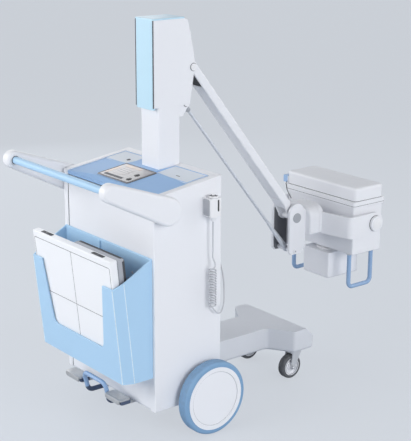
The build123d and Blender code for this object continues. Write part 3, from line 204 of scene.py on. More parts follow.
class EffectShelf:
    """Builds each shared effect once, as a node group, and places it where a material asks for it."""

    def __init__(self) -> None:
        """Start with no group built."""
        self.groups: dict[Effect, bpy.types.NodeTree] = {}

    def place(self, graph: Graph, effect: Effect, **values: object) -> bpy.types.Node:
        """Put an effect into a material with its own values.

        Args:
            graph: The material's graph.
            effect: Which effect.
            **values: Inputs by name, with _ for a blank.

        Returns:
            The group node, whose outputs are read by name.
        """
        node = graph.add("ShaderNodeGroup", node_tree=self._group(effect))
        for name, value in values.items():
            graph.feed(node.inputs[name.replace("_", " ")], value)
        return node

    def _group(self, effect: Effect) -> bpy.types.NodeTree:
        """Give the effect's node group, built at its first use.

        Args:
            effect: Which effect.

        Returns:
            The group.
        """
        if effect not in self.groups:
            makers: dict[Effect, Callable[[], bpy.types.NodeTree]] = {
                Effect.TONE: self._tone, Effect.WEAR: self._wear, Effect.PEEL: self._peel,
                Effect.GRAIN: self._grain, Effect.BRUSH: self._brush, Effect.DUST: self._dust,
                Effect.SCUFF: self._scuff,
            }
            self.groups[effect] = makers[effect]()
        return self.groups[effect]

    @staticmethod
    def _start(name: str, inputs: Sequence[tuple[str, str, object]], outputs: Sequence[tuple[str, str]]
               ) -> tuple[Graph, bpy.types.Node, bpy.types.Node]:
        """Open a group with its sockets.

        Args:
            name: The group's name.
            inputs: Name, socket type and starting value of each input.
            outputs: Name and socket type of each output.

        Returns:
            The group's graph, its input node and its output node.
        """
        tree = bpy.data.node_groups.new(name, "ShaderNodeTree")
        for label, kind, value in inputs:
            socket = tree.interface.new_socket(label, in_out="INPUT", socket_type=kind)
            socket.default_value = value
        for label, kind in outputs:
            tree.interface.new_socket(label, in_out="OUTPUT", socket_type=kind)
        graph = Graph(tree)
        return graph, graph.add("NodeGroupInput"), graph.add("NodeGroupOutput")

    def _tone(self) -> bpy.types.NodeTree:
        """Build the broad, faint drift of a colour between a lighter and a darker tone.

        Returns:
            The group.
        """
        graph, given, result = self._start(
            "tone_drift",
            [("Colour", "NodeSocketColor", (1, 1, 1, 1)), ("Scale", "NodeSocketFloat", 5.0),
             ("Amount", "NodeSocketFloat", 0.05)],
            [("Colour", "NodeSocketColor")])
        place = graph.add("ShaderNodeTexCoord").outputs["Object"]
        broad = graph.noise(place, given.outputs["Scale"], 3.0)
        fine = graph.noise(place, graph.sum("MULTIPLY", given.outputs["Scale"], 17.0), 2.0)
        mixed = graph.sum("MULTIPLY_ADD", fine, 0.35, graph.sum("MULTIPLY", broad, 0.65))
        drift = graph.sum("MULTIPLY", graph.sum("SUBTRACT", mixed, 0.5), given.outputs["Amount"])
        shade = graph.add("ShaderNodeHueSaturation")
        graph.feed(shade.inputs["Color"], given.outputs["Colour"])
        graph.feed(shade.inputs["Value"], graph.sum("ADD", drift, 1.0))
        graph.feed(result.inputs["Colour"], shade.outputs["Color"])
        return graph.tree

    def _wear(self) -> bpy.types.NodeTree:
        """Build the mask of rubbed edges: where the rounded normal leaves the true one, broken up by noise.

        Returns:
            The group.
        """
        graph, given, result = self._start(
            "edge_wear",
            [("Radius", "NodeSocketFloat", 0.002), ("Amount", "NodeSocketFloat", 0.5),
             ("Scale", "NodeSocketFloat", 90.0)],
            [("Mask", "NodeSocketFloat")])
        rounded = graph.add("ShaderNodeBevel", samples=4)
        graph.feed(rounded.inputs["Radius"], given.outputs["Radius"])
        flat = graph.add("ShaderNodeNewGeometry").outputs["Normal"]
        turn = graph.add("ShaderNodeVectorMath", operation="DOT_PRODUCT")
        graph.feed(turn.inputs[0], rounded.outputs["Normal"])
        graph.feed(turn.inputs[1], flat)
        edge = graph.spread(turn.outputs["Value"], 0.995, 0.80)
        patchy = graph.spread(
            graph.noise(graph.add("ShaderNodeTexCoord").outputs["Object"], given.outputs["Scale"], 4.0, 0.7),
            0.42, 0.68)
        graph.feed(result.inputs["Mask"],
                   graph.sum("MULTIPLY", graph.sum("MULTIPLY", edge, patchy), given.outputs["Amount"], clamp=True))
        return graph.tree

    def _peel(self) -> bpy.types.NodeTree:
        """Build the height of the fine ripple that a sprayed or powder coat has.

        Returns:
            The group.
        """
        graph, given, result = self._start(
            "orange_peel",
            [("Scale", "NodeSocketFloat", 420.0), ("Amount", "NodeSocketFloat", 1.0)],
            [("Height", "NodeSocketFloat"), ("Roughness", "NodeSocketFloat")])
        place = graph.add("ShaderNodeTexCoord").outputs["Object"]
        ripple = graph.noise(place, given.outputs["Scale"], 1.5)
        speck = graph.noise(place, graph.sum("MULTIPLY", given.outputs["Scale"], 3.1), 1.0)
        height = graph.sum("MULTIPLY_ADD", speck, 0.25, ripple)
        graph.feed(result.inputs["Height"], graph.sum("MULTIPLY", height, given.outputs["Amount"]))
        graph.feed(result.inputs["Roughness"],
                   graph.sum("MULTIPLY", graph.sum("SUBTRACT", ripple, 0.5), 0.12))
        return graph.tree

    def _grain(self) -> bpy.types.NodeTree:
        """Build the height of the pebbled skin of a moulding.

        Returns:
            The group.
        """
        graph, given, result = self._start(
            "moulded_grain",
            [("Scale", "NodeSocketFloat", 700.0), ("Amount", "NodeSocketFloat", 1.0)],
            [("Height", "NodeSocketFloat"), ("Mask", "NodeSocketFloat")])
        place = graph.add("ShaderNodeTexCoord").outputs["Object"]
        pebble = graph.add("ShaderNodeTexVoronoi", feature="SMOOTH_F1")
        graph.feed(pebble.inputs["Vector"], place)
        graph.feed(pebble.inputs["Scale"], given.outputs["Scale"])
        soft = graph.noise(place, graph.sum("MULTIPLY", given.outputs["Scale"], 0.2), 2.0)
        height = graph.sum("MULTIPLY_ADD", soft, 0.6, pebble.outputs["Distance"])
        graph.feed(result.inputs["Height"], graph.sum("MULTIPLY", height, given.outputs["Amount"]))
        graph.feed(result.inputs["Mask"], soft)
        return graph.tree

    def _brush(self) -> bpy.types.NodeTree:
        """Build the fine lines drawn along one axis of a metal part.

        Returns:
            The group.
        """
        graph, given, result = self._start(
            "brushed_lines",
            [("Stretch", "NodeSocketVector", (4.0, 260.0, 260.0)), ("Amount", "NodeSocketFloat", 1.0)],
            [("Height", "NodeSocketFloat"), ("Value", "NodeSocketFloat")])
        place = graph.add("ShaderNodeTexCoord").outputs["Object"]
        drawn = graph.add("ShaderNodeVectorMath", operation="MULTIPLY")
        graph.feed(drawn.inputs[0], place)
        graph.feed(drawn.inputs[1], given.outputs["Stretch"])
        lines = graph.noise(drawn.outputs["Vector"], 3.0, 3.0, 0.6)
        graph.feed(result.inputs["Height"], graph.sum("MULTIPLY", lines, given.outputs["Amount"]))
        graph.feed(result.inputs["Value"], lines)
        return graph.tree

    def _dust(self) -> bpy.types.NodeTree:
        """Build the mask of the thin dust that lies on faces that look up.

        Returns:
            The group.
        """
        graph, given, result = self._start(
            "settled_dust", [("Amount", "NodeSocketFloat", 0.2)], [("Mask", "NodeSocketFloat")])
        facing = graph.add("ShaderNodeSeparateXYZ")
        graph.feed(facing.inputs[0], graph.add("ShaderNodeNewGeometry").outputs["Normal"])
        up = graph.spread(facing.outputs["Z"], 0.55, 1.0)
        patches = graph.spread(graph.noise(graph.add("ShaderNodeTexCoord").outputs["Object"], 26.0, 5.0, 0.65),
                               0.35, 0.75)
        graph.feed(result.inputs["Mask"],
                   graph.sum("MULTIPLY", graph.sum("MULTIPLY", up, patches), given.outputs["Amount"], clamp=True))
        return graph.tree

    def _scuff(self) -> bpy.types.NodeTree:
        """Build the mask of short, faint scuffs from handling.

        Returns:
            The group.
        """
        graph, given, result = self._start(
            "fine_scuffs",
            [("Scale", "NodeSocketFloat", 30.0), ("Amount", "NodeSocketFloat", 0.3)],
            [("Mask", "NodeSocketFloat")])
        place = graph.add("ShaderNodeTexCoord").outputs["Object"]
        bent = graph.add("ShaderNodeVectorMath", operation="MULTIPLY_ADD")
        graph.feed(bent.inputs[0], graph.add("ShaderNodeTexNoise").outputs["Color"])
        bent.inputs[1].default_value = (0.05, 0.05, 0.05)
        graph.feed(bent.inputs[2], place)
        long_way = graph.add("ShaderNodeVectorMath", operation="MULTIPLY")
        graph.feed(long_way.inputs[0], bent.outputs["Vector"])
        long_way.inputs[1].default_value = (1.0, 1.0, 9.0)
        marks = graph.spread(graph.noise(long_way.outputs["Vector"], given.outputs["Scale"], 3.0, 0.7), 0.66, 0.78)
        graph.feed(result.inputs["Mask"], graph.sum("MULTIPLY", marks, given.outputs["Amount"], clamp=True))
        return graph.tree


# Finishes


@dataclass(frozen=True)
class Finish:
    """What every finish has: its colour and gloss, and the marks that use has left on it."""

    colour: Colour
    roughness: float = 0.4
    drift: float = 0.05
    dust: float = 0.10
    wear: float = 0.0
    worn: Colour = (0.55, 0.55, 0.56, 1.0)
    specular: float = 0.5

    def shade(self, name: str, shelf: EffectShelf) -> bpy.types.Material:
        """Build the finish as a material.

        Args:
            name: The material's name.
            shelf: Where the shared effects come from.

        Returns:
            The material.
        """
        material = bpy.data.materials.new(name)
        material.use_nodes = True
        material.node_tree.nodes.clear()
        graph = Graph(material.node_tree)
        shader = graph.add("ShaderNodeBsdfPrincipled")
        shader.inputs["Specular IOR Level"].default_value = self.specular
        graph.feed(graph.add("ShaderNodeOutputMaterial").inputs["Surface"], shader.outputs[0])
        self.coat(graph, shader, shelf)
        return material

    def body_colour(self, graph: Graph, shelf: EffectShelf) -> bpy.types.NodeSocket:
        """Lay the colour with its drift, its rubbed edges and its dust.

        Args:
            graph: The material's graph.
            shelf: Where the shared effects come from.

        Returns:
            The finished colour's socket.
        """
        colour = shelf.place(graph, Effect.TONE, Colour=self.colour, Amount=self.drift).outputs["Colour"]
        if self.wear:
            mask = shelf.place(graph, Effect.WEAR, Amount=self.wear).outputs["Mask"]
            colour = graph.blend(mask, colour, self.worn)
        if self.dust:
            mask = shelf.place(graph, Effect.DUST, Amount=self.dust).outputs["Mask"]
            colour = graph.blend(mask, colour, paint(*DUST_TONE))
        return colour

    def coat(self, graph: Graph, shader: bpy.types.Node, shelf: EffectShelf) -> None:
        """Feed the shader; each finish does this in its own way."""
        graph.feed(shader.inputs["Base Color"], self.body_colour(graph, shelf))

    @staticmethod
    def press(graph: Graph, shader: bpy.types.Node, height: object, depth: float, strength: float = 1.0) -> None:
        """Raise the surface by a height.

        Args:
            graph: The material's graph.
            shader: The shader whose normal it feeds.
            height: The height's socket.
            depth: Metres that a height of 1 stands for.
            strength: Share of the bump that shows.
        """
        bump = graph.add("ShaderNodeBump")
        bump.inputs["Distance"].default_value = depth
        bump.inputs["Strength"].default_value = strength
        graph.feed(bump.inputs["Height"], height)
        graph.feed(shader.inputs["Normal"], bump.outputs["Normal"])


@dataclass(frozen=True)
class SprayedCoat(Finish):
    """Satin paint on sheet metal or a casting, with a faint orange peel."""

    peel: float = 1.0
    clear: float = 0.15

    def coat(self, graph: Graph, shader: bpy.types.Node, shelf: EffectShelf) -> None:
        """Feed colour, gloss and ripple to the shader.

        Args:
            graph: The material's graph.
            shader: The shader that it feeds.
            shelf: Where the shared effects come from.
        """
        graph.feed(shader.inputs["Base Color"], self.body_colour(graph, shelf))
        skin = shelf.place(graph, Effect.PEEL, Amount=self.peel)
        scuffs = shelf.place(graph, Effect.SCUFF, Amount=0.5).outputs["Mask"]
        rough = graph.sum("ADD", skin.outputs["Roughness"], self.roughness)
        graph.feed(shader.inputs["Roughness"], graph.sum("MULTIPLY_ADD", scuffs, 0.2, rough, clamp=True))
        shader.inputs["Coat Weight"].default_value = self.clear
        shader.inputs["Coat Roughness"].default_value = 0.25
        self.press(graph, shader, skin.outputs["Height"], 0.00006, 0.5)


@dataclass(frozen=True)
class Moulding(Finish):
    """Injection-moulded plastic with a pebbled skin."""

    pebble: float = 1.0

    def coat(self, graph: Graph, shader: bpy.types.Node, shelf: EffectShelf) -> None:
        """Feed colour, gloss and grain to the shader.

        Args:
            graph: The material's graph.
            shader: The shader that it feeds.
            shelf: Where the shared effects come from.
        """
        colour = self.body_colour(graph, shelf)
        scuffs = shelf.place(graph, Effect.SCUFF, Amount=0.35).outputs["Mask"]
        pale = tuple(min(1.0, c * 0.5 + 0.42) for c in self.colour[:3]) + (1.0,)
        graph.feed(shader.inputs["Base Color"], graph.blend(graph.sum("MULTIPLY", scuffs, 0.35), colour, pale))
        skin = shelf.place(graph, Effect.GRAIN, Amount=self.pebble)
        graph.feed(shader.inputs["Roughness"],
                   graph.sum("MULTIPLY_ADD", skin.outputs["Mask"], 0.14, self.roughness - 0.07, clamp=True))
        self.press(graph, shader, skin.outputs["Height"], 0.00008, 0.45)


@dataclass(frozen=True)
class DrawnMetal(Finish):
    """Bare or plated metal with drawn lines along one axis."""

    along: Point = (4.0, 260.0, 260.0)
    metal: float = 1.0

    def coat(self, graph: Graph, shader: bpy.types.Node, shelf: EffectShelf) -> None:
        """Feed colour, metal, gloss and lines to the shader.

        Args:
            graph: The material's graph.
            shader: The shader that it feeds.
            shelf: Where the shared effects come from.
        """
        lines = shelf.place(graph, Effect.BRUSH, Stretch=self.along)
        colour = self.body_colour(graph, shelf)
        darker = tuple(c * 0.72 for c in self.colour[:3]) + (1.0,)
        graph.feed(shader.inputs["Base Color"],
                   graph.blend(graph.spread(lines.outputs["Value"], 0.35, 0.75, 0.0, 0.45), colour, darker))
        shader.inputs["Metallic"].default_value = self.metal
        graph.feed(shader.inputs["Roughness"],
                   graph.sum("MULTIPLY_ADD", lines.outputs["Value"], 0.2, self.roughness - 0.1, clamp=True))
        self.press(graph, shader, lines.outputs["Height"], 0.00004, 0.4)


@dataclass(frozen=True)
class TreadRubber(Finish):
    """Solid rubber tyre: a matt skin whose tread turns towards a second tone where it rolls, road grime on the black
    tyres and painted shade on the blue ones.
    """

    tread_grime_and_shade: Colour = (0.30, 0.31, 0.32, 1.0)

    def coat(self, graph: Graph, shader: bpy.types.Node, shelf: EffectShelf) -> None:
        """Feed colour, the tread's grime and painted shade, and grain to the shader.

        Args:
            graph: The material's graph.
            shader: The shader that it feeds.
            shelf: Where the shared effects come from.
        """
        colour = self.body_colour(graph, shelf)
        facing = graph.add("ShaderNodeSeparateXYZ")
        graph.feed(facing.inputs[0], graph.add("ShaderNodeNewGeometry").outputs["Normal"])
        rolling = graph.spread(graph.sum("ABSOLUTE", facing.outputs["X"]), 0.75, 0.25)
        skin = shelf.place(graph, Effect.GRAIN, Scale=420.0)
        patches = graph.spread(skin.outputs["Mask"], 0.40, 0.62, 0.05, 0.34)
        # The tread tone is painted shade on the blue tyres and road grime on the black ones
        graph.feed(shader.inputs["Base Color"],
                   graph.blend(graph.sum("MULTIPLY", rolling, patches), colour, self.tread_grime_and_shade))
        graph.feed(shader.inputs["Roughness"],
                   graph.sum("MULTIPLY_ADD", rolling, 0.12, self.roughness, clamp=True))
        self.press(graph, shader, skin.outputs["Height"], 0.00015, 0.6)


@dataclass(frozen=True)
class ScreenGlass(Finish):
    """Coated glass of the display and the beam window, darker to the right."""

    pale_x: float = -0.09
    dark_x: float = 0.085
    dark_share: float = 0.45
    clear: float = 0.6
    clear_rough: float = 0.06

    def coat(self, graph: Graph, shader: bpy.types.Node, shelf: EffectShelf) -> None:
        """Feed the colour that darkens to the right, smears and gloss to the shader.

        Args:
            graph: The material's graph.
            shader: The shader that it feeds.
            shelf: Where the shared effects come from.
        """
        place = graph.add("ShaderNodeTexCoord").outputs["Object"]
        split = graph.add("ShaderNodeSeparateXYZ")
        graph.feed(split.inputs[0], place)
        rightwards = graph.spread(split.outputs["X"], self.pale_x, self.dark_x)
        colour = graph.blend(rightwards, self.body_colour(graph, shelf),
                             tuple(c * self.dark_share for c in self.colour[:3]) + (1.0,))
        graph.feed(shader.inputs["Base Color"], colour)
        smears = shelf.place(graph, Effect.SCUFF, Scale=14.0, Amount=1.0).outputs["Mask"]
        graph.feed(shader.inputs["Roughness"], graph.sum("MULTIPLY_ADD", smears, 0.25, self.roughness, clamp=True))
        shader.inputs["Coat Weight"].default_value = self.clear
        shader.inputs["Coat Roughness"].default_value = self.clear_rough


@dataclass(frozen=True)
class RoughCasting(Finish):
    """Sand-cast iron of the heavy inner block."""

    def coat(self, graph: Graph, shader: bpy.types.Node, shelf: EffectShelf) -> None:
        """Feed colour and a coarse skin to the shader.

        Args:
            graph: The material's graph.
            shader: The shader that it feeds.
            shelf: Where the shared effects come from.
        """
        graph.feed(shader.inputs["Base Color"], self.body_colour(graph, shelf))
        shader.inputs["Metallic"].default_value = 0.6
        skin = shelf.place(graph, Effect.GRAIN, Scale=260.0)
        graph.feed(shader.inputs["Roughness"],
                   graph.sum("MULTIPLY_ADD", skin.outputs["Mask"], 0.2, self.roughness, clamp=True))
        self.press(graph, shader, skin.outputs["Height"], 0.0004, 0.8)


class Look(Enum):
    """Every finish on the machine, by the record's material slot or by the trim it is for."""

    BODY_WHITE = "body_white"
    BODY_GREY = "body_grey"
    COVER_BLUE = "cover_blue"
    BIN_BLUE = "bin_blue"
    TRAY_BLUE = "tray_blue"
    PANEL_GREY = "panel_grey"
    SCREEN = "screen"
    STEEL = "steel"
    ZINC = "zinc"
    TYRE_BLUE = "tyre_blue"
    TYRE_BLACK = "tyre_black"
    HUB_WHITE = "hub_white"
    INNER_BLOCK = "inner_block"
    CASSETTE = "cassette"
    CASSETTE_GREY = "cassette_grey"
    CORD = "cord"
    SWITCH_WHITE = "switch_white"
    GRIP_BLUE = "grip_blue"
    SEAM = "seam_shadow"
    RUBBER = "rubber_trim"
    INK = "printed_line"
    DARK_STEEL = "blackened_steel"
    GLOW = "display_blocks"
    TERMINAL_BLUE = "terminal_blue"
    CLEAR = "beam_window"
    FORK_SHADE = "painted_fork_shade"
    CAP_GREY = "cap_grey"
    PEDAL_BLUE = "pedal_blue"
    JOINT = "soft_joint"
    DEEP_SHADE = "painted_deep_shade"
    SATIN_ROD = "satin_rod"
    EDGE_HIGHLIGHT = "bin_edge_highlight"
    HOLDER_REAR_GREY = "holder_rear_grey"
    CLOCK_BLACK = "dial_black"
    WARM_BLOCK = "display_warm"


WHITE = paint(240, 241, 245)
FINISHES: dict[Look, Finish] = {
    Look.BODY_WHITE: SprayedCoat(WHITE, 0.36, drift=0.025, dust=0.05, wear=0.3, worn=paint(214, 215, 217)),
    Look.BODY_GREY: SprayedCoat(paint(220, 223, 229), 0.42, drift=0.04, dust=0.05, wear=0.4,
                                worn=paint(188, 190, 194)),
    Look.COVER_BLUE: SprayedCoat(paint(200, 232, 248), 0.30, drift=0.03, dust=0.0, wear=0.25, peel=0.4,
                                 worn=paint(228, 240, 248)),
    Look.BIN_BLUE: Moulding(paint(178, 214, 243), 0.42, drift=0.03, dust=0.03, wear=0.3, pebble=0.4,
                            worn=paint(220, 235, 247)),
    Look.TRAY_BLUE: Moulding(paint(158, 194, 235), 0.46, drift=0.04, dust=0.0, wear=0.25, pebble=0.12, specular=0.3,
                             worn=paint(200, 220, 240)),
    Look.PANEL_GREY: Moulding(paint(224, 231, 239), 0.42, drift=0.03, dust=0.0, pebble=0.2),
    Look.SCREEN: ScreenGlass(paint(178, 172, 172), 0.2, dust=0.0),
    Look.STEEL: DrawnMetal(paint(206, 206, 206), 0.36, dust=0.06, metal=0.7),
    Look.ZINC: DrawnMetal(paint(222, 224, 228), 0.40, along=(240.0, 240.0, 5.0), metal=0.45, dust=0.04),
    # Painted shade: the blue tyre's tread is darkened towards its shaded tone
    Look.TYRE_BLUE: TreadRubber(paint(128, 166, 202), 0.50, drift=0.05, dust=0.0, tread_grime_and_shade=paint(118, 140, 164)),
    Look.TYRE_BLACK: TreadRubber(paint(92, 94, 98), 0.60, drift=0.08, tread_grime_and_shade=paint(130, 128, 124)),
    Look.HUB_WHITE: Moulding(paint(242, 243, 247), 0.36, drift=0.02, dust=0.02, pebble=0.4),
    Look.INNER_BLOCK: RoughCasting(paint(96, 98, 101), 0.6, drift=0.1),
    Look.CASSETTE: Moulding(paint(247, 248, 251), 0.34, drift=0.015, pebble=0.3, dust=0.0),
    Look.CASSETTE_GREY: Moulding(paint(174, 177, 184), 0.40, drift=0.05, dust=0.0, wear=0.5,
                                 worn=paint(206, 208, 213)),
    Look.CORD: Moulding(paint(204, 206, 211), 0.45, drift=0.05, pebble=0.4),
    Look.SWITCH_WHITE: Moulding(paint(242, 242, 244), 0.30, drift=0.02, dust=0.0, pebble=0.3),
    Look.GRIP_BLUE: SprayedCoat(paint(150, 181, 218), 0.24, drift=0.05, dust=0.0, wear=0.5, clear=0.4,
                                worn=paint(198, 214, 234)),
    Look.SEAM: Moulding(paint(66, 69, 76), 0.7, drift=0.1, dust=0.0),
    Look.RUBBER: Moulding(paint(58, 59, 62), 0.62, drift=0.1, wear=0.3, worn=paint(110, 111, 114)),
    Look.INK: Moulding(paint(92, 94, 99), 0.5, drift=0.12, dust=0.0, pebble=0.3),
    Look.DARK_STEEL: DrawnMetal(paint(98, 100, 105), 0.42, metal=0.7, dust=0.0, wear=0.5,
                                worn=paint(176, 178, 182)),
    Look.GLOW: ScreenGlass(paint(180, 171, 170), 0.2, dust=0.0),
    Look.TERMINAL_BLUE: Moulding(paint(166, 198, 236), 0.32, drift=0.05, dust=0.0),
    Look.CLEAR: ScreenGlass(paint(120, 124, 130), 0.12, dust=0.0),
    # Painted shade: dark grey sheets on the fork's inner faces, where shade falls between its plates
    Look.FORK_SHADE: SprayedCoat(paint(112, 114, 119), 0.55, drift=0.1, dust=0.0, wear=0.3, worn=paint(150, 151, 155)),
    Look.CAP_GREY: Moulding(paint(174, 177, 183), 0.38, drift=0.05, dust=0.0),
    # Dark blue of the pedal pads; the bail's sleeves in it are mostly painted shade
    Look.PEDAL_BLUE: Moulding(paint(72, 86, 112), 0.5, drift=0.08, dust=0.0, wear=0.4, worn=paint(120, 132, 156)),
    Look.JOINT: Moulding(paint(178, 181, 188), 0.5, drift=0.05, dust=0.0, pebble=0.3),
    # Painted shade: near-black for the fork's web and for the head's shadow on the arm's channel
    Look.DEEP_SHADE: SprayedCoat(paint(50, 51, 55), 0.6, drift=0.1, dust=0.0, wear=0.3, worn=paint(96, 97, 101)),
    Look.SATIN_ROD: DrawnMetal(paint(222, 226, 233), 0.36, metal=0.35, dust=0.0),
    # Painted highlight: the pale colour of the beads along the bin's cut-corner edges
    Look.EDGE_HIGHLIGHT: Moulding(paint(222, 240, 252), 0.28, drift=0.02, dust=0.0, pebble=0.1),
    Look.HOLDER_REAR_GREY: Moulding(paint(186, 188, 194), 0.42, drift=0.04, dust=0.0, pebble=0.4),
    Look.CLOCK_BLACK: Moulding(paint(40, 38, 40), 0.4, drift=0.05, dust=0.0, pebble=0.2),
    Look.WARM_BLOCK: ScreenGlass(paint(214, 184, 162), 0.22, dust=0.0),
}

# Nodes whose finish differs from others of their record slot
OWN_LOOK: dict[str, Look] = {
    "handle_bar": Look.BIN_BLUE, "arm_pin": Look.SWITCH_WHITE, "rod_pin": Look.SWITCH_WHITE,
    "fork_pin": Look.CAP_GREY, "arm_rod": Look.SATIN_ROD, "collimator": Look.BODY_WHITE,
    "beam_port": Look.SWITCH_WHITE, "hand_switch_holder": Look.SWITCH_WHITE,
}


class Wardrobe:
    """Holds one material for each finish and puts it on nodes and pieces."""

    def __init__(self) -> None:
        """Start with an empty rail of materials."""
        self.shelf = EffectShelf()
        self.made: dict[Look, bpy.types.Material] = {}

    def material(self, look: Look) -> bpy.types.Material:
        """Give a finish's material, built at its first use.

        Args:
            look: Which finish.

        Returns:
            The material.
        """
        if look not in self.made:
            self.made[look] = FINISHES[look].shade(look.value, self.shelf)
        return self.made[look]

    def dress(self, thing: bpy.types.Object, look: Look) -> None:
        """Put one finish on the whole of a piece."""
        thing.data.materials.clear()
        thing.data.materials.append(self.material(look))

    def dress_node(self, node: str, look: Look) -> None:
        """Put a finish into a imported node's material slots.

        Args:
            node: The node's name.
            look: Its finish.
        """
        thing = frame["nodes"][node]
        if not thing.material_slots:
            thing.data.materials.append(self.material(look))
        for slot in thing.material_slots:
            slot.material = self.material(look)

    def dress_record(self) -> None:
        """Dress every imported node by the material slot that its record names."""
        for row in frame["record"]["subparts"]:
            look = OWN_LOOK.get(row["node"], Look(row["material_slot"]))
            self.dress_node(row["node"], look)
            log.info("node %s wears %s", row["node"], look.value)


# Mesh work


@dataclass
class Maker:
    """Builds meshes for one sub-assembly, and dresses and mounts each as it is made."""

    wardrobe: Wardrobe
    body: str

    def finish_piece(self, name: str, mesh: bpy.types.Mesh, look: Look) -> bpy.types.Object:
        """Make an object of a mesh, dress it and let it ride.

        Args:
            name: The piece's name.
            mesh: Its mesh, in place.
            look: Its finish.

        Returns:
            The piece.
        """
        piece = bpy.data.objects.new(name, mesh)
        bpy.context.scene.collection.objects.link(piece)
        mesh.shade_smooth()
        mesh.set_sharp_from_angle(angle=HARD_EDGE)
        self.wardrobe.dress(piece, look)
        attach(piece, self.body)
        log.info("piece %s rides on %s: %d faces", name, self.body, len(mesh.polygons))
        return piece

    @staticmethod
    def to_mesh(name: str, build: bmesh.types.BMesh) -> bpy.types.Mesh:
        """Close a bmesh into a mesh with outward normals.

        Args:
            name: The mesh's name.
            build: The bmesh, which is freed.

        Returns:
            The mesh.
        """
        bmesh.ops.recalc_face_normals(build, faces=build.faces)
        mesh = bpy.data.meshes.new(name)
        build.to_mesh(mesh)
        build.free()
        return mesh

    def lathe(self, name: str, look: Look, centre: Sequence[float], axis: Sequence[float],
              outline: Sequence[tuple[float, float]], steps: int = 48) -> bpy.types.Object:
        """Turn an open outline round an axis.

        Args:
            name: The piece's name.
            look: Its finish.
            centre: A point on the axis, in metres.
            axis: The axis.
            outline: Points (along the axis, radius) in metres, from one end to the other.
            steps: Segments round.

        Returns:
            The piece.
        """
        build = bmesh.new()
        way = Vector(axis).normalized()
        side = way.orthogonal().normalized()
        rings: list[list[bmesh.types.BMVert]] = []
        for along, radius in outline:
            middle = Vector(centre) + way * along
            rings.append(lay_ring(build, middle, side, way.cross(side), [radius] * steps) if radius
                         else [build.verts.new(middle)])
        join_rings(build, rings, steps)
        return self.finish_piece(name, self.to_mesh(name, build), look)

    def slab(self, name: str, look: Look, outline: Sequence[tuple[float, float]], place: Matrix, thick: float,
             round_edge: float = 0.0) -> bpy.types.Object:
        """Raise a flat outline into a slab with rounded edges.

        Args:
            name: The piece's name.
            look: Its finish.
            outline: Corners in the slab's own plane, in metres.
            place: Puts the plane's x, y and height in the frame.
            thick: Height of the slab.
            round_edge: Radius of its edges.

        Returns:
            The piece.
        """
        build = bmesh.new()
        low = [build.verts.new((x, y, 0.0)) for x, y in outline]
        high = [build.verts.new((x, y, thick)) for x, y in outline]
        build.faces.new(low)
        build.faces.new(high)
        join_rings(build, [low, high], len(outline))
        if round_edge:
            rim = [e for e in build.edges if all(v in high for v in e.verts)]
            bmesh.ops.bevel(build, geom=rim, offset=round_edge, segments=3, affect="EDGES", profile=0.5)
        build.transform(place)
        return self.finish_piece(name, self.to_mesh(name, build), look)

    def strip_loop(self, name: str, look: Look, outline: Sequence[tuple[float, float]], place: Matrix,
                   width: float, thick: float) -> bpy.types.Object:
        """Lay a narrow raised strip along a closed outline.

        Args:
            name: The piece's name.
            look: Its finish.
            outline: The strip's outer corners in its own plane, in metres.
            place: Puts the plane in the frame.
            width: Width of the strip, inwards.
            thick: Height of the strip.

        Returns:
            The piece.
        """
        build = bmesh.new()
        count = len(outline)
        middle = Vector((sum(x for x, _ in outline) / count, sum(y for _, y in outline) / count))
        inner = []
        for k in range(count):
            back, here, on = (Vector(outline[j % count]) for j in (k - 1, k, k + 1))
            first, second = (here - back).normalized(), (on - here).normalized()
            inward = Vector((-(first + second).y, (first + second).x)).normalized()
            if inward.dot(middle - here) < 0:
                inward.negate()
            mitre = max(NARROWEST_MITRE, abs(inward.dot(Vector((-first.y, first.x)))))
            inner.append(here + inward * (width / mitre))
        loops = [[build.verts.new((p[0], p[1], z)) for p in ring]
                 for ring, z in ((outline, 0.0), (outline, thick), (inner, thick), (inner, 0.0))]
        join_rings(build, loops + loops[:1], count)
        build.transform(place)
        return self.finish_piece(name, self.to_mesh(name, build), look)

    def tube(self, name: str, look: Look, points: Sequence[Sequence[float]], radius: float, sides: int = 12
             ) -> bpy.types.Object:
        """Run a round bar along points.

        Args:
            name: The piece's name.
            look: Its finish.
            points: The bar's centreline, in metres.
            radius: Its radius.
            sides: Segments round.

        Returns:
            The piece.
        """
        build = bmesh.new()
        line = [Vector(p) for p in points]
        last = len(line) - 1
        rings: list[list[bmesh.types.BMVert]] = []
        side = None
        for k, here in enumerate(line):
            ahead = line[k + 1] if k < last else here + (here - line[k - 1])
            behind = line[k - 1] if k > 0 else here - (ahead - here)
            way = (ahead - behind).normalized()
            side = way.orthogonal().normalized() if side is None else (side - way * side.dot(way)).normalized()
            rings.append(lay_ring(build, here, side, way.cross(side), [radius] * sides))
        join_rings(build, rings, sides)
        build.faces.new(rings[0])
        build.faces.new(rings[-1])
        return self.finish_piece(name, self.to_mesh(name, build), look)

    def socket_screw(self, name: str, look: Look, at: Sequence[float], out: Sequence[float], radius: float,
                     proud: float = 0.0012) -> bpy.types.Object:
        """Set a button-head screw with a hexagon socket.

        Args:
            name: The piece's name.
            look: Its finish.
            at: The middle of its seat, in metres.
            out: Which way its head looks.
            radius: Its head's radius.
            proud: How far the head stands out.

        Returns:
            The piece.
        """
        build = bmesh.new()
        way = Vector(out).normalized()
        side = way.orthogonal().normalized()
        steps, sunk, socket_r = 24, 0.0003, 0.42 * radius
        turns = [(2 * math.pi * k / steps) % (math.pi / 3) - math.pi / 6 for k in range(steps)]
        hexagon = [socket_r * math.cos(math.pi / 6) / math.cos(turn) for turn in turns]
        profile = ((-sunk, [radius] * steps), (proud * 0.45, [radius] * steps),
                   (proud * 0.85, [radius * 0.85] * steps), (proud, [radius * 0.6] * steps),
                   (proud, hexagon), (proud * 0.2, hexagon))
        rings = [lay_ring(build, Vector(at) + way * along, side, way.cross(side), radii) for along, radii in profile]
        join_rings(build, rings, steps)
        build.faces.new(rings[-1])
        return self.finish_piece(name, self.to_mesh(name, build), look)


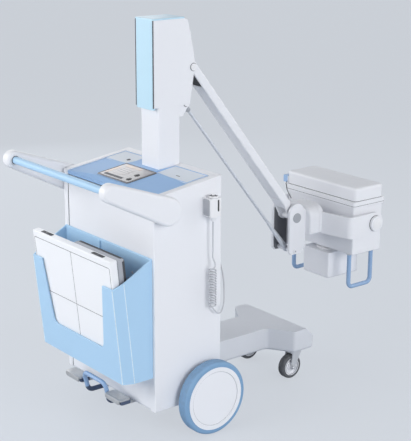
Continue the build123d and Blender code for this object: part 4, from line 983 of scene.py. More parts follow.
def rounded(width: float, height: float, radius: float, steps: int = 5, middle: tuple[float, float] = (0.0, 0.0)
            ) -> list[tuple[float, float]]:
    """Corners of a rectangle with rounded corners.

    Args:
        width: Its width.
        height: Its height.
        radius: Its corners' radius.
        steps: Points in a corner.
        middle: Where its middle is.

    Returns:
        The outline, anticlockwise.
    """
    outline = []
    for quarter, (sx, sy) in enumerate(((1, 1), (-1, 1), (-1, -1), (1, -1))):
        for k in range(steps + 1):
            turn = math.pi / 2 * (quarter + k / steps)
            outline.append((middle[0] + sx * (width / 2 - radius) + radius * math.cos(turn),
                            middle[1] + sy * (height / 2 - radius) + radius * math.sin(turn)))
    return outline


def lay_ring(build: bmesh.types.BMesh, middle: Vector, side: Vector, over: Vector, radii: Sequence[float]
             ) -> list[bmesh.types.BMVert]:
    """Lay a ring of corners round a point.

    Args:
        build: The mesh in the making.
        middle: The ring's middle.
        side: The way to its first corner.
        over: The way to the corner a quarter turn on.
        radii: How far out each corner lies, in order round the ring.

    Returns:
        The corners.
    """
    corners = []
    for k, radius in enumerate(radii):
        turn = 2 * math.pi * k / len(radii)
        corners.append(build.verts.new(middle + (side * math.cos(turn) + over * math.sin(turn)) * radius))
    return corners


def join_rings(build: bmesh.types.BMesh, rings: Sequence[Sequence[bmesh.types.BMVert]], steps: int) -> None:
    """Skin each ring of corners to the next, where a ring may also be a single point.

    Args:
        build: The mesh in the making.
        rings: The rings, in order.
        steps: Corners in a full ring.
    """
    for first, second in zip(rings, rings[1:]):
        for k in range(steps):
            corners = [first[k % len(first)], first[(k + 1) % len(first)],
                       second[(k + 1) % len(second)], second[k % len(second)]]
            unique = list(dict.fromkeys(corners))
            if len(unique) > 2:
                build.faces.new(unique)


def outer_x(node: str, sign: int) -> float:
    """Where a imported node's box ends on the side that the sign gives."""
    low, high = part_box(node)
    return high.x if sign > 0 else low.x


def seat(origin: Sequence[float], x_way: Sequence[float], y_way: Sequence[float]) -> Matrix:
    """Place a flat drawing in the frame.

    Args:
        origin: Where its origin goes.
        x_way: Which way its x runs.
        y_way: Which way its y runs.

    Returns:
        The matrix, whose third column is the way that its height rises.
    """
    x, y = Vector(x_way).normalized(), Vector(y_way).normalized()
    z = x.cross(y)
    return Matrix(((x.x, y.x, z.x, origin[0]), (x.y, y.y, z.y, origin[1]), (x.z, y.z, z.z, origin[2]),
                   (0, 0, 0, 1)))


def middle_of(node: str) -> Vector:
    """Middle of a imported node's box."""
    low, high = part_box(node)
    return (low + high) / 2


SIDES: tuple[tuple[str, int], ...] = (("left", -1), ("right", 1))


# Sub-assemblies


@dataclass
class RearWheels:
    """The two rear wheels: a soft joint line round the sunk disc, and bolts on the spindle's flange."""

    wardrobe: Wardrobe
    step_r: float = 0.0940
    step_gap: float = 0.0002
    joint_w: float = 0.0024
    joint_foot: float = -0.0004
    joint_top: float = 0.0003
    disc_sunk: float = 0.0025
    flange: float = 0.008
    bolt_circle: float = 0.017
    bolt_r: float = 0.0032

    def build(self) -> None:
        """Dress both wheels."""
        for side, sign in SIDES:
            centre = middle_of(f"wheel_hub_{side}")
            self.joint_line(side, sign, centre)
            self.bolts(side, sign, centre)

    def joint_line(self, side: str, sign: int, centre: Vector) -> None:
        """Lay the soft joint line at the foot of the ring, round the sunk disc.

        Args:
            side: The side's name.
            sign: Which way the side lies.
            centre: The wheel's middle.
        """
        maker = Maker(self.wardrobe, f"wheel_{side}")
        disc_x = outer_x(f"wheel_hub_{side}", sign) - sign * self.disc_sunk
        inner, outer = self.step_r - self.joint_w, self.step_r - self.step_gap
        maker.lathe(f"wheel_joint_{side}", Look.JOINT, (disc_x, centre.y, centre.z), (sign, 0, 0),
                    [(self.joint_foot, inner), (self.joint_top, inner), (self.joint_top, outer),
                     (self.joint_foot, outer), (self.joint_foot, inner)], 96)

    def bolts(self, side: str, sign: int, centre: Vector) -> None:
        """Set the four bolts that hold the spindle's flange to the cabinet.

        Args:
            side: The side's name.
            sign: Which way the side lies.
            centre: The wheel's middle.
        """
        maker = Maker(self.wardrobe, "chassis")
        seat_x = outer_x(f"wheel_spindle_{side}", -sign) + sign * self.flange
        for k in range(4):
            turn = math.pi / 4 + k * math.pi / 2
            at = (seat_x, centre.y + self.bolt_circle * math.cos(turn), centre.z + self.bolt_circle * math.sin(turn))
            maker.socket_screw(f"spindle_bolt_{side}_{k}", Look.ZINC, at, (sign, 0, 0), self.bolt_r)


@dataclass
class Casters:
    """The two front casters: axle nuts, hub rings and the raceway under the plate."""

    wardrobe: Wardrobe
    nut_r: float = 0.0075
    ring_in: float = 0.0286
    ring_out: float = 0.0296
    race_in: float = 0.0238
    race_out: float = 0.0246
    race_half: float = 0.0015
    stem: float = 0.038
    race_drop: float = 0.004
    trail: float = 0.030

    def build(self) -> None:
        """Dress both casters."""
        for side, _ in SIDES:
            fork = Maker(self.wardrobe, f"caster_{side}")
            wheel = Maker(self.wardrobe, f"caster_wheel_{side}")
            hub = middle_of(f"caster_hub_{side}")
            low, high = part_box(f"caster_fork_{side}")
            for tag, way, face in (("in", -1, low.x), ("out", 1, high.x)):
                fork.lathe(f"caster_nut_{side}_{tag}", Look.ZINC, (face, hub.y, hub.z), (way, 0, 0),
                           [(-0.0005, self.nut_r), (0.0035, self.nut_r), (0.0045, self.nut_r * 0.85),
                            (0.0045, 0.0035), (0.0060, 0.0032), (0.0062, 0.0)], 6)
            hub_low, hub_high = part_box(f"caster_hub_{side}")
            for tag, way, face in (("in", -1, hub_low.x), ("out", 1, hub_high.x)):
                wheel.lathe(f"caster_ring_{side}_{tag}", Look.SEAM, (face, hub.y, hub.z), (way, 0, 0),
                            [(-0.0006, self.ring_in), (0.0002, self.ring_in), (0.0002, self.ring_out),
                             (-0.0006, self.ring_out), (-0.0006, self.ring_in)], 48)
            swivel = Vector((hub.x, hub.y + self.trail, high.z - self.stem - self.race_drop))
            fork.lathe(f"caster_race_{side}", Look.DARK_STEEL, swivel, (0, 0, 1),
                       [(-self.race_half, self.race_in), (-self.race_half, self.race_out),
                        (self.race_half, self.race_out), (self.race_half, self.race_in)], 48)


@dataclass
class Cassettes:
    """The two film cassettes: printed field lines, latches and edge bands."""

    wardrobe: Wardrobe
    lean: float = math.radians(6.03)
    foot: Point = (0.0, -0.540, 0.2347)
    half_thick: float = 0.013
    field_half: float = 0.224
    field_low: float = 0.022
    field_high: float = 0.388
    line: float = 0.0017

    def place(self, u: float, v: float, out: float, foot: Point | None = None) -> Matrix:
        """Seat a drawing on a cassette's outer face.

        Args:
            u: Across from the middle.
            v: Up from the foot.
            out: Out from the cassette's middle plane, towards the rear of the machine.
            foot: The foot's middle, if not the white cassette's.

        Returns:
            The matrix.
        """
        at = foot or self.foot
        up = Vector((0, -math.sin(self.lean), math.cos(self.lean)))
        away = Vector((0, -math.cos(self.lean), -math.sin(self.lean)))
        return seat(Vector(at) + Vector((u, 0, 0)) + up * v + away * out, (1, 0, 0), up)

    def build(self) -> None:
        """Dress both cassettes."""
        maker = Maker(self.wardrobe, "chassis")
        self.field_lines(maker)
        self.latches(maker)
        self.grey_band(maker)

    def field_lines(self, maker: Maker) -> None:
        """Print the border and the centre lines on the white cassette."""
        height = self.field_high - self.field_low
        outline = rounded(2 * self.field_half, height, 0.006, 4, (0.0, (self.field_high + self.field_low) / 2))
        maker.strip_loop("cassette_field_border", Look.INK, outline, self.place(0, 0, self.half_thick - 0.0001),
                         self.line, 0.0003)
        middle = (self.field_high + self.field_low) / 2
        for tag, width, tall in (("upright", self.line, height), ("level", 2 * self.field_half, self.line)):
            maker.slab(f"cassette_field_{tag}", Look.INK, rounded(width, tall, self.line * 0.3, 2),
                       self.place(0, middle, self.half_thick - 0.0001), 0.0003)

    def latches(self, maker: Maker) -> None:
        """Sink the two latches into the white cassette's top edge.

        Args:
            maker: Where the latches are made.
        """
        up = Vector((0, -math.sin(self.lean), math.cos(self.lean)))
        for tag, u in (("left", -0.155), ("right", 0.146)):
            at = Vector(self.foot) + Vector((u, 0, 0)) + up * 0.4100
            matrix = seat(at - up * 0.0004, (1, 0, 0), (0, math.cos(self.lean), math.sin(self.lean)))
            maker.slab(f"cassette_latch_{tag}", Look.RUBBER, rounded(0.066, 0.0135, 0.003), matrix, 0.0008, 0.0003)
            maker.slab(f"cassette_latch_slide_{tag}", Look.DARK_STEEL, rounded(0.015, 0.007, 0.002), matrix,
                       0.0014, 0.0004)

    def grey_band(self, maker: Maker) -> None:
        """Run a dark band round the grey cassette's face and a second one round its edge.

        Args:
            maker: Where the bands are made.
        """
        low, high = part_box("cassette_grey")
        centre_x = (low.x + high.x) / 2
        foot = (centre_x, -0.5135, 0.2347)
        width, tall = high.x - low.x, 0.410
        maker.strip_loop("cassette_grey_band", Look.RUBBER,
                         rounded(width - 0.006, tall - 0.006, 0.008, 4, (0, tall / 2)),
                         self.place(0, 0, 0.0125 - 0.0001, foot), 0.007, 0.0006)
        maker.strip_loop("cassette_grey_shell", Look.SEAM,
                         rounded(width + 0.0008, tall + 0.0008, 0.0104, 4, (0, tall / 2)),
                         self.place(0, 0, -0.0127, foot), 0.004, 0.0085)


@dataclass
class CassetteBin:
    """The bin on the cabinet's rear: rubber stops, fixing screws and pale beads that paint a highlight down the edges
    of its cut corners.
    """

    wardrobe: Wardrobe
    stop_r: float = 0.0062
    highlight_r: float = 0.0019
    front_x: float = 0.236
    cut_y: float = 0.036
    low_y: float = -0.560
    high_y: float = -0.594
    high_z: float = 0.550
    rim_z: float = 0.5695

    def build(self) -> None:
        """Dress the bin."""
        maker = Maker(self.wardrobe, "chassis")
        low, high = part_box("cassette_bin")
        for side, sign in SIDES:
            for k, z in enumerate((0.300, 0.560)):
                at = (sign * 0.150, high.y - 0.0052, z)
                maker.socket_screw(f"bin_screw_{side}_{k}", Look.ZINC, at, (0, -1, 0), 0.005)
            for k, (y, z) in enumerate(((-0.560, 0.558), (-0.531, 0.580))):
                maker.lathe(f"bin_stop_{side}_{k}", Look.RUBBER, (sign * 0.2380, y, z - 0.008), (0, 0.2, 0.98),
                            [(-0.002, self.stop_r), (0.007, self.stop_r), (0.009, self.stop_r * 0.7), (0.0095, 0)],
                            20)
            self.highlight_beads(maker, side, sign, low, high)

    def highlight_beads(self, maker: Maker, side: str, sign: int, low: Vector, high: Vector) -> None:
        """Paint a highlight down both edges of the cut corner as a thin pale bead.

        Args:
            maker: Where the highlight beads are made.
            side: The side's name.
            sign: Which way the side lies.
            low: The bin's lowest corner.
            high: The bin's highest corner.
        """
        lean = (self.low_y - self.high_y) / (self.high_z - low.z)
        inset = self.highlight_r * 0.6
        for tag, x, y, top in (("front", self.front_x, self.low_y, self.high_z),
                               ("side", high.x, self.low_y + self.cut_y, self.rim_z)):
            points = [(sign * (x - inset), y + inset - lean * (z - low.z), z)
                      for z in (low.z + 0.002, (low.z + top) / 2, top - 0.002)]
            # Each bead is a painted highlight along one edge of the cut corner
            maker.tube(f"bin_edge_highlight_{tag}_{side}", Look.EDGE_HIGHLIGHT, points, self.highlight_r)


@dataclass
class ControlTop:
    """The sloping control top: bezel, plain blocks and dials on the screen, panel rims, key switch and slot."""

    wardrobe: Wardrobe
    rear: Point = (0.0, -0.451, 0.824)
    run: float = 0.269
    rise: float = 0.0375

    def place(self, x: float, s: float, out: float) -> Matrix:
        """Seat a drawing on the slope.

        Args:
            x: Across from the middle.
            s: Up the slope from its rear edge.
            out: Above the slope.

        Returns:
            The matrix.
        """
        up = Vector((0, self.run, self.rise)).normalized()
        away = Vector((1, 0, 0)).cross(up)
        return seat(Vector(self.rear) + Vector((x, 0, 0)) + up * s + away * out, (1, 0, 0), up)

    def build(self) -> None:
        """Dress the control top."""
        maker = Maker(self.wardrobe, "chassis")
        low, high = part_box("control_display")
        mid_x, mid_s = (low.x + high.x) / 2, 0.0873
        width, length, level = high.x - low.x, 0.122, 0.0080
        maker.strip_loop("display_bezel", Look.DARK_STEEL, rounded(width - 0.004, length - 0.004, 0.005),
                         self.place(mid_x, mid_s, level), 0.0032, 0.0006)
        blocks = (("page", Look.GLOW, -0.022, 0.004, 0.066, 0.056),
                  ("warm_high", Look.WARM_BLOCK, -0.020, 0.044, 0.086, 0.014),
                  ("warm_side", Look.WARM_BLOCK, -0.071, -0.004, 0.016, 0.060),
                  ("bar_one", Look.CLEAR, -0.022, 0.020, 0.052, 0.004),
                  ("bar_two", Look.CLEAR, -0.022, 0.008, 0.052, 0.004),
                  ("bar_three", Look.CLEAR, -0.022, -0.004, 0.052, 0.004),
                  ("foot", Look.INK, -0.016, -0.042, 0.100, 0.012))
        for layer, (tag, look, x, s, wide, tall) in enumerate(blocks):
            maker.slab(f"display_{tag}", look, rounded(wide, tall, min(wide, tall) * 0.2),
                       self.place(mid_x + x, mid_s + s, level), 0.0003 + 0.0001 * (layer > 2))
        for k, (x, s) in enumerate(((0.052, 0.004), (0.060, -0.034))):
            maker.lathe(f"display_dial_{k}", Look.CLOCK_BLACK, self.place(mid_x + x, mid_s + s, level).translation,
                        self.place(0, 0, 0).col[2].xyz, [(0.0, 0.0095), (0.0008, 0.0095), (0.0014, 0.0085), (0.0014, 0)],
                        40)
        self.panels(maker)

    def panels(self, maker: Maker) -> None:
        """Rim both side panels, and give one a round key switch and the other a plain slot.

        Args:
            maker: Where the pieces are made.
        """
        level_share = math.cos(math.atan2(self.rise, self.run))
        for side, _ in SIDES:
            low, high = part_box(f"control_panel_{side}")
            depth = (high.y - low.y) / level_share
            s = (low.y - self.rear[1]) / level_share + depth / 2
            maker.strip_loop(f"panel_rim_{side}", Look.TRAY_BLUE,
                             rounded(high.x - low.x - 0.001, depth - 0.001, 0.003),
                             self.place((low.x + high.x) / 2, s, 0.0), 0.0022, 0.0007)
        key = self.place(-0.137, 0.186, 0.0)
        maker.lathe("key_switch", Look.DARK_STEEL, key.translation, key.col[2].xyz,
                    [(-0.0005, 0.0070), (0.0010, 0.0070), (0.0016, 0.0062), (0.0016, 0.0022), (0.0006, 0.0020),
                     (0.0006, 0.0)], 32)
        maker.slab("panel_slot", Look.INK, rounded(0.020, 0.0034, 0.0016), self.place(0.149, 0.180, 0.0), 0.0004)


@dataclass
class Column:
    """The column and its head: the dark groove beside the blue cover, and the rod lugs' caps."""

    wardrobe: Wardrobe
    cover_in: float = 0.004
    side_w: float = 0.0022
    proud: float = 0.0003

    def build(self) -> None:
        """Dress the column head."""
        maker = Maker(self.wardrobe, "chassis")
        cover_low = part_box("column_cover")[0]
        low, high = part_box("column_head")
        foot, top = cover_low.z + 0.006, high.z - 0.0005
        for side, sign in SIDES:
            rear = [(0.0002, foot), (self.cover_in - 0.0004, foot), (self.cover_in - 0.0004, top), (0.0002, top)]
            maker.slab(f"cover_groove_{side}", Look.SEAM, [(sign * (high.x - self.cover_in + x), z) for x, z in rear],
                       seat((0, low.y + 0.0001, 0), (1, 0, 0), (0, 0, 1)), self.proud)
            flank = [(0.0, foot), (self.side_w, foot), (self.side_w, top), (0.0, top)]
            maker.slab(f"cover_groove_side_{side}", Look.SEAM, flank,
                       seat((sign * (high.x - 0.0001), low.y, 0), (0, 1, 0), (0, 0, 1)), sign * self.proud)
            for k, z in enumerate((1.10, 1.29)):
                maker.socket_screw(f"cover_screw_{side}_{k}", Look.BODY_WHITE,
                                   (sign * high.x, cover_low.y + 0.018, z), (sign, 0, 0), 0.0035, 0.0008)
            self.pin_ring(maker, f"arm_pin_ring_{side}", middle_of("arm_pin"), sign * high.x, sign, 0.0136)
            self.lug_cap(maker, side, sign)

    @staticmethod
    def pin_ring(maker: Maker, name: str, centre: Vector, face: float, sign: int, radius: float) -> None:
        """Lay a dark ring round a pin's cap.

        Args:
            maker: Where the ring is made.
            name: The ring's name.
            centre: The pin's middle.
            face: Where the face lies that the ring is on.
            sign: Which way the face looks.
            radius: The ring's outer radius.
        """
        maker.lathe(name, Look.SEAM, (face, centre.y, centre.z), (sign, 0, 0),
                    [(-0.0002, radius), (0.0003, radius), (0.0003, radius - 0.0016), (-0.0002, radius - 0.0016)], 48)

    def lug_cap(self, maker: Maker, side: str, sign: int) -> None:
        """Cap the rod pin on the outer face of its lug."""
        centre = middle_of("rod_pin")
        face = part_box("rod_pin")[1].x * sign
        self.pin_ring(maker, f"rod_pin_ring_{side}", centre, face - sign * 0.0032, sign, 0.0104)
        maker.lathe(f"rod_pin_cap_{side}", Look.SWITCH_WHITE, (face, centre.y, centre.z), (sign, 0, 0),
                    [(-0.0026, 0.0086), (0.0006, 0.0086), (0.0016, 0.0074), (0.0018, 0.0)], 40)


@dataclass
class LiftArm:
    """The parallelogram: the arm's channel with the head's painted shadow at its top, the pins' sockets, the painted
    shade inside the fork and the rod's end fittings.
    """

    wardrobe: Wardrobe
    fork_plate: float = 0.010
    open_at: float = 0.005
    lining_x: float = 0.0256
    shadow_end: float = 0.094
    channel_end: float = 0.664
    cone_r: float = 0.0104
    cone_l: float = 0.130

    def build(self) -> None:
        """Dress the arm's pins and rod."""
        pins = (("arm_pin", "chassis", Look.SWITCH_WHITE, 0.0050), ("fork_rod_pin", "fork", Look.CAP_GREY, 0.0035))
        for node, body, look, radius in pins:
            maker = Maker(self.wardrobe, body)
            centre = middle_of(node)
            for side, sign in SIDES:
                maker.socket_screw(f"{node}_socket_{side}", look, (outer_x(node, sign), centre.y, centre.z),
                                   (sign, 0, 0), radius)
        self.channel_lining()
        self.rod_fittings()
        self.fork_shade_sheets()
        self.fork_caps()

    def channel_lining(self) -> None:
        """Close the arm's channel with a plain sheet, after a dark stretch that paints the head's shadow where the
        arm leaves the head.
        """
        maker = Maker(self.wardrobe, "arm")
        start, end = middle_of("arm_pin"), middle_of("fork_pin")
        way = (end - start).normalized()
        below = Vector((0, way.z, -way.y))
        # The dark stretch is painted shadow from the head; the sheet after it is a real closing plate
        for tag, look, near, far, depth in (("dark", Look.DEEP_SHADE, 0.030, self.shadow_end, 0.0035),
                                            ("sheet", Look.BODY_WHITE, self.shadow_end, self.channel_end, 0.0015)):
            at = start + way * near + below * (self.open_at - depth)
            maker.slab(f"arm_lining_{tag}", look,
                       [(-self.lining_x, 0.0), (self.lining_x, 0.0), (self.lining_x, far - near),
                        (-self.lining_x, far - near)],
                       seat(at, (1, 0, 0), way), 0.0010)

    def fork_shade_sheets(self) -> None:
        """Paint the shade inside the fork as dark sheets on its inner faces and its web, and sleeve the pin."""
        maker = Maker(self.wardrobe, "fork")
        low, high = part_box("fork")
        pin = middle_of("fork_pin")
        inner = high.x - self.fork_plate
        rear, front = low.y + 0.0036, high.y - self.fork_plate - 0.0005
        outline = [(rear, low.z + 0.012), (rear + 0.009, low.z + 0.0015), (front - 0.011, low.z + 0.0015),
                   (front, low.z + 0.012), (front, pin.z + 0.026), (front - 0.014, pin.z + 0.041),
                   (rear + 0.0135, pin.z + 0.041), (rear, pin.z + 0.024)]
        for side, sign in SIDES:
            place = Matrix(((0, 0, -sign, sign * inner), (1, 0, 0, 0), (0, 1, 0, 0), (0, 0, 0, 1)))
            # Each sheet paints the shade on one of the fork's inner faces
            maker.slab(f"fork_shade_sheet_{side}", Look.FORK_SHADE, outline, place, 0.0008)
            maker.lathe(f"pin_collar_{side}", Look.SWITCH_WHITE, (sign * 0.0305, pin.y, pin.z), (sign, 0, 0),
                        [(0.0, 0.0092), (0.0, 0.0130), (0.0085, 0.0130), (0.0085, 0.0092)], 40)
        # The web's dark sheet is painted shade
        maker.slab("fork_shade_sheet_web", Look.DEEP_SHADE,
                   [(-inner + 0.001, low.z + 0.014), (inner - 0.001, low.z + 0.014), (inner - 0.001, pin.z + 0.028),
                    (-inner + 0.001, pin.z + 0.028)],
                   Matrix(((1, 0, 0, 0), (0, 0, -1, high.y - self.fork_plate), (0, 1, 0, 0), (0, 0, 0, 1))), 0.0008)
        maker.lathe("pin_sleeve", Look.SWITCH_WHITE, (-0.0215, pin.y, pin.z), (1, 0, 0),
                    [(0.0, 0.0092), (0.0, 0.0118), (0.0430, 0.0118), (0.0430, 0.0092)], 40)

    def fork_caps(self) -> None:
        """Dome the fork pin's caps a little."""
        maker = Maker(self.wardrobe, "fork")
        low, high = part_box("fork_pin")
        centre, radius = middle_of("fork_pin"), (high.z - low.z) / 2
        for side, sign in SIDES:
            face = high.x if sign > 0 else low.x
            maker.lathe(f"fork_cap_{side}", Look.CAP_GREY, (face - sign * 0.0002, centre.y, centre.z), (sign, 0, 0),
                        [(0.0, radius - 0.0008), (0.0008, radius - 0.002), (0.0010, radius - 0.006), (0.0010, 0.0)],
                        48)

    def rod_fittings(self) -> None:
        """Put a collar on the rod's upper end and a cone that widens to its lower eye."""
        maker = Maker(self.wardrobe, "rod")
        start, end = middle_of("rod_pin"), middle_of("fork_rod_pin")
        way = (end - start).normalized()
        maker.lathe("rod_collar", Look.CAP_GREY, start + way * 0.0105, way,
                    [(0.0, 0.0052), (0.0, 0.0088), (0.0240, 0.0088), (0.0260, 0.0076), (0.0260, 0.0052)], 6)
        maker.lathe("rod_cone", Look.SATIN_ROD, end - way * 0.0105, -way,
                    [(0.0, 0.0050), (0.0, self.cone_r), (0.0180, self.cone_r), (0.0220, self.cone_r - 0.0006),
                     (self.cone_l, 0.0058), (self.cone_l + 0.002, 0.0051)], 40)


@dataclass
class HeadYoke:
    """The yoke's tilt knobs: a dark ring round each and a low cap on it."""

    wardrobe: Wardrobe
    ring_back: float = 0.0118
    ring_in: float = 0.0285
    ring_out: float = 0.0297
    ring_w: float = 0.0018

    def build(self) -> None:
        """Dress both knobs."""
        maker = Maker(self.wardrobe, "yoke")
        for side, sign in SIDES:
            centre = middle_of(f"tilt_knob_{side}")
            face = outer_x(f"tilt_knob_{side}", sign)
            maker.lathe(f"knob_ring_{side}", Look.SEAM, (face - sign * self.ring_back, centre.y, centre.z),
                        (sign, 0, 0), [(0.0, self.ring_in), (0.0, self.ring_out), (self.ring_w, self.ring_out),
                                       (self.ring_w, self.ring_in)], 64)
            maker.lathe(f"knob_cap_{side}", Look.SWITCH_WHITE, (face, centre.y, centre.z), (sign, 0, 0),
                        [(-0.0004, 0.0210), (0.0008, 0.0205), (0.0012, 0.0195), (0.0012, 0.0)], 64)


@dataclass
class TubeHead:
    """The tube head: gaskets, the blue terminal, grip collars and the collimator's front."""

    wardrobe: Wardrobe
    joint: float = 0.0016
    terminal_in: float = 0.006
    flange_round: float = 0.009
    line_up: float = 0.0078

    def build(self) -> None:
        """Dress the head and the collimator."""
        maker = Maker(self.wardrobe, "head")
        self.gaskets(maker)
        self.flange_line(maker)
        self.terminal(maker)
        self.collars(maker)
        self.collimator()

    def gaskets(self, maker: Maker) -> None:
        """Lay the dark joint under the lid and under the flange."""
        for tag, node, radius, at_top in (("lid", "head_lid", 0.0143, False), ("flange", "head_body", 0.0053, True)):
            low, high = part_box(node)
            z = high.z - self.joint if at_top else low.z
            maker.strip_loop(f"head_gasket_{tag}", Look.SEAM,
                             rounded(high.x - low.x + 0.0006, high.y - low.y + 0.0006, radius),
                             seat((0, (high.y + low.y) / 2, z), (1, 0, 0), (0, 1, 0)), 0.003, self.joint)

    def flange_line(self, maker: Maker) -> None:
        """Lay the dark joint round the flange, proud at its ends and rear and just inside its front."""
        low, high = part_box("head_flange")
        rear, front = low.y - 0.0003, high.y - 0.0002
        maker.strip_loop("flange_line", Look.SEAM,
                         rounded(2 * high.x + 0.0006, front - rear, self.flange_round + 0.0003),
                         seat((0, (front + rear) / 2, low.z + self.line_up), (1, 0, 0), (0, 1, 0)), 0.003, 0.0012)

    def terminal(self, maker: Maker) -> None:
        """Cap the cable terminal on the left end in blue."""
        flange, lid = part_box("head_flange"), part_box("head_lid")
        left, top = flange[0].x, flange[1].z
        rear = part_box("head_body")[0].y + self.terminal_in
        out = lid[0].x - 0.0030 - left
        block = seat((left + out / 2 - 0.0002, rear + 0.013, lid[0].z + 0.001), (1, 0, 0), (0, 1, 0))
        maker.slab("terminal_cap", Look.TERMINAL_BLUE, rounded(out + 0.0004, 0.0266, 0.0042), block,
                   top - lid[0].z - 0.0004, 0.002)
        maker.tube("terminal_strap", Look.SEAM,
                   [(-0.1835, 0.5070, 0.6500), (-0.1822, 0.4990, 0.6420), (-0.1740, 0.4988, 0.6160),
                    (-0.1660, 0.5030, 0.5990), (-0.1600, 0.5080, 0.5850)], 0.0013, sides=8)

    def collars(self, maker: Maker) -> None:
        """Set a round collar where each grip enters the head."""
        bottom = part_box("head_body")[0].z
        for side, sign in SIDES:
            low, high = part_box(f"head_grip_{side}")
            x = (low.x + high.x) / 2
            for tag, y in (("rear", low.y + 0.008), ("front", high.y - 0.008)):
                maker.lathe(f"grip_collar_{side}_{tag}", Look.BODY_GREY, (x, y, bottom), (0, 0, -1),
                            [(-0.0002, 0.0125), (0.0028, 0.0125), (0.0040, 0.0110), (0.0040, 0.0079)], 32)

    def collimator(self) -> None:
        """Give the collimator its window frame, its window and its knobs' caps."""
        maker = Maker(self.wardrobe, "collimator")
        low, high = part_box("collimator")
        mid = Vector(((low.x + high.x) / 2, 0.572, low.z))
        face_down = seat((mid.x, mid.y, low.z), (1, 0, 0), (0, -1, 0))
        maker.slab("beam_window", Look.CLEAR, rounded(0.078, 0.078, 0.004), face_down, 0.0002)
        maker.strip_loop("beam_window_frame", Look.DARK_STEEL, rounded(0.088, 0.088, 0.006), face_down, 0.005, 0.0004)
        for tag, width, tall in (("upright", 0.0006, 0.074), ("level", 0.074, 0.0006)):
            maker.slab(f"beam_cross_{tag}", Look.INK, rounded(width, tall, 0.0002, 2), face_down, 0.0004)
        for side, sign in SIDES:
            maker.lathe(f"blade_knob_cap_{side}", Look.DARK_STEEL, (sign * 0.032, high.y, (low.z + high.z) / 2),
                        (0, 1, 0), [(-0.0060, 0.0114), (-0.0012, 0.0114), (-0.0002, 0.0104), (-0.0002, 0.0)], 40)


@dataclass
class PushHandle:
    """The push handle: a dark ring on each end of the bar."""

    wardrobe: Wardrobe
    end_in: float = 0.0005
    ring_in: float = 0.0124
    ring_out: float = 0.0138
    ring_w: float = 0.0022

    def build(self) -> None:
        """Dress the handle."""
        maker = Maker(self.wardrobe, "chassis")
        centre = middle_of("handle_bar")
        for side, sign in SIDES:
            end = outer_x("handle_bar", sign) - sign * self.end_in
            maker.lathe(f"bar_ring_{side}", Look.SEAM, (end, centre.y, centre.z), (-sign, 0, 0),
                        [(0.0, self.ring_in), (0.0, self.ring_out), (self.ring_w, self.ring_out),
                         (self.ring_w, self.ring_in)], 40)


@dataclass
class FloorBrake:
    """The brake bail and its pedals: dark sleeves, mostly painted shade, on the bail's feet, ribs and pads on the
    pedals.
    """

    wardrobe: Wardrobe
    ribs: int = 5
    bail_r: float = 0.0075
    corner: Point = (0.062, -0.497, 0.092)
    leg: Point = (0.004, -0.017, 0.071)
    bend: float = 0.022
    foot: float = 0.065

    def build(self) -> None:
        """Dress the brake."""
        maker = Maker(self.wardrobe, "chassis")
        for side, sign in SIDES:
            low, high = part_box(f"pedal_{side}")
            mid_x, top = (low.x + high.x) / 2, high.z
            maker.slab(f"pedal_pad_{side}", Look.PEDAL_BLUE, rounded(high.x - low.x + 0.0010, 0.0372, 0.004),
                       seat((mid_x, low.y + 0.0255, top - 0.0180), (1, 0, 0), (0, 1, 0)), 0.0118)
            maker.slab(f"pedal_lip_{side}", Look.STEEL, rounded(0.080, 0.0125, 0.003),
                       seat((mid_x, low.y + 0.0002, top - 0.0075), (1, 0, 0), (0, 0, 1)), 0.0008, 0.0003)
            for k in range(self.ribs):
                y = low.y + 0.010 + k * 0.006
                maker.slab(f"pedal_rib_{side}_{k}", Look.STEEL, rounded(0.066, 0.0018, 0.0008, 2),
                           seat((mid_x, y, top - 0.0001), (1, 0, 0), (0, 1, 0)), 0.0008, 0.0003)
            self.sleeve(maker, side, sign)

    def sleeve(self, maker: Maker, side: str, sign: int) -> None:
        """Paint the shade on the bail's foot and lower bend as a dark sleeve along the bail's own line.

        Args:
            maker: Where the sleeve is made.
            side: The side's name.
            sign: Which way the side lies.
        """
        back = Vector((0, -1, 0))
        rise = Vector((sign * self.leg[0], self.leg[1], self.leg[2])).normalized()
        across = (rise - back * rise.dot(back)).normalized()
        turn = math.acos(rise.dot(back))
        corner = Vector((sign * self.corner[0], self.corner[1], self.corner[2]))
        start = corner - back * self.bend * math.tan(turn / 2)
        steps = 8
        points = [start - back * self.foot]
        for k in range(steps + 1):
            part = turn * k / steps
            points.append(start + (back * math.sin(part) + across * (1 - math.cos(part))) * self.bend)
        # The sleeve mostly paints the shade on the bail's lower leg and bend
        maker.tube(f"bail_shade_sleeve_{side}", Look.PEDAL_BLUE, points, self.bail_r + 0.0006, sides=20)


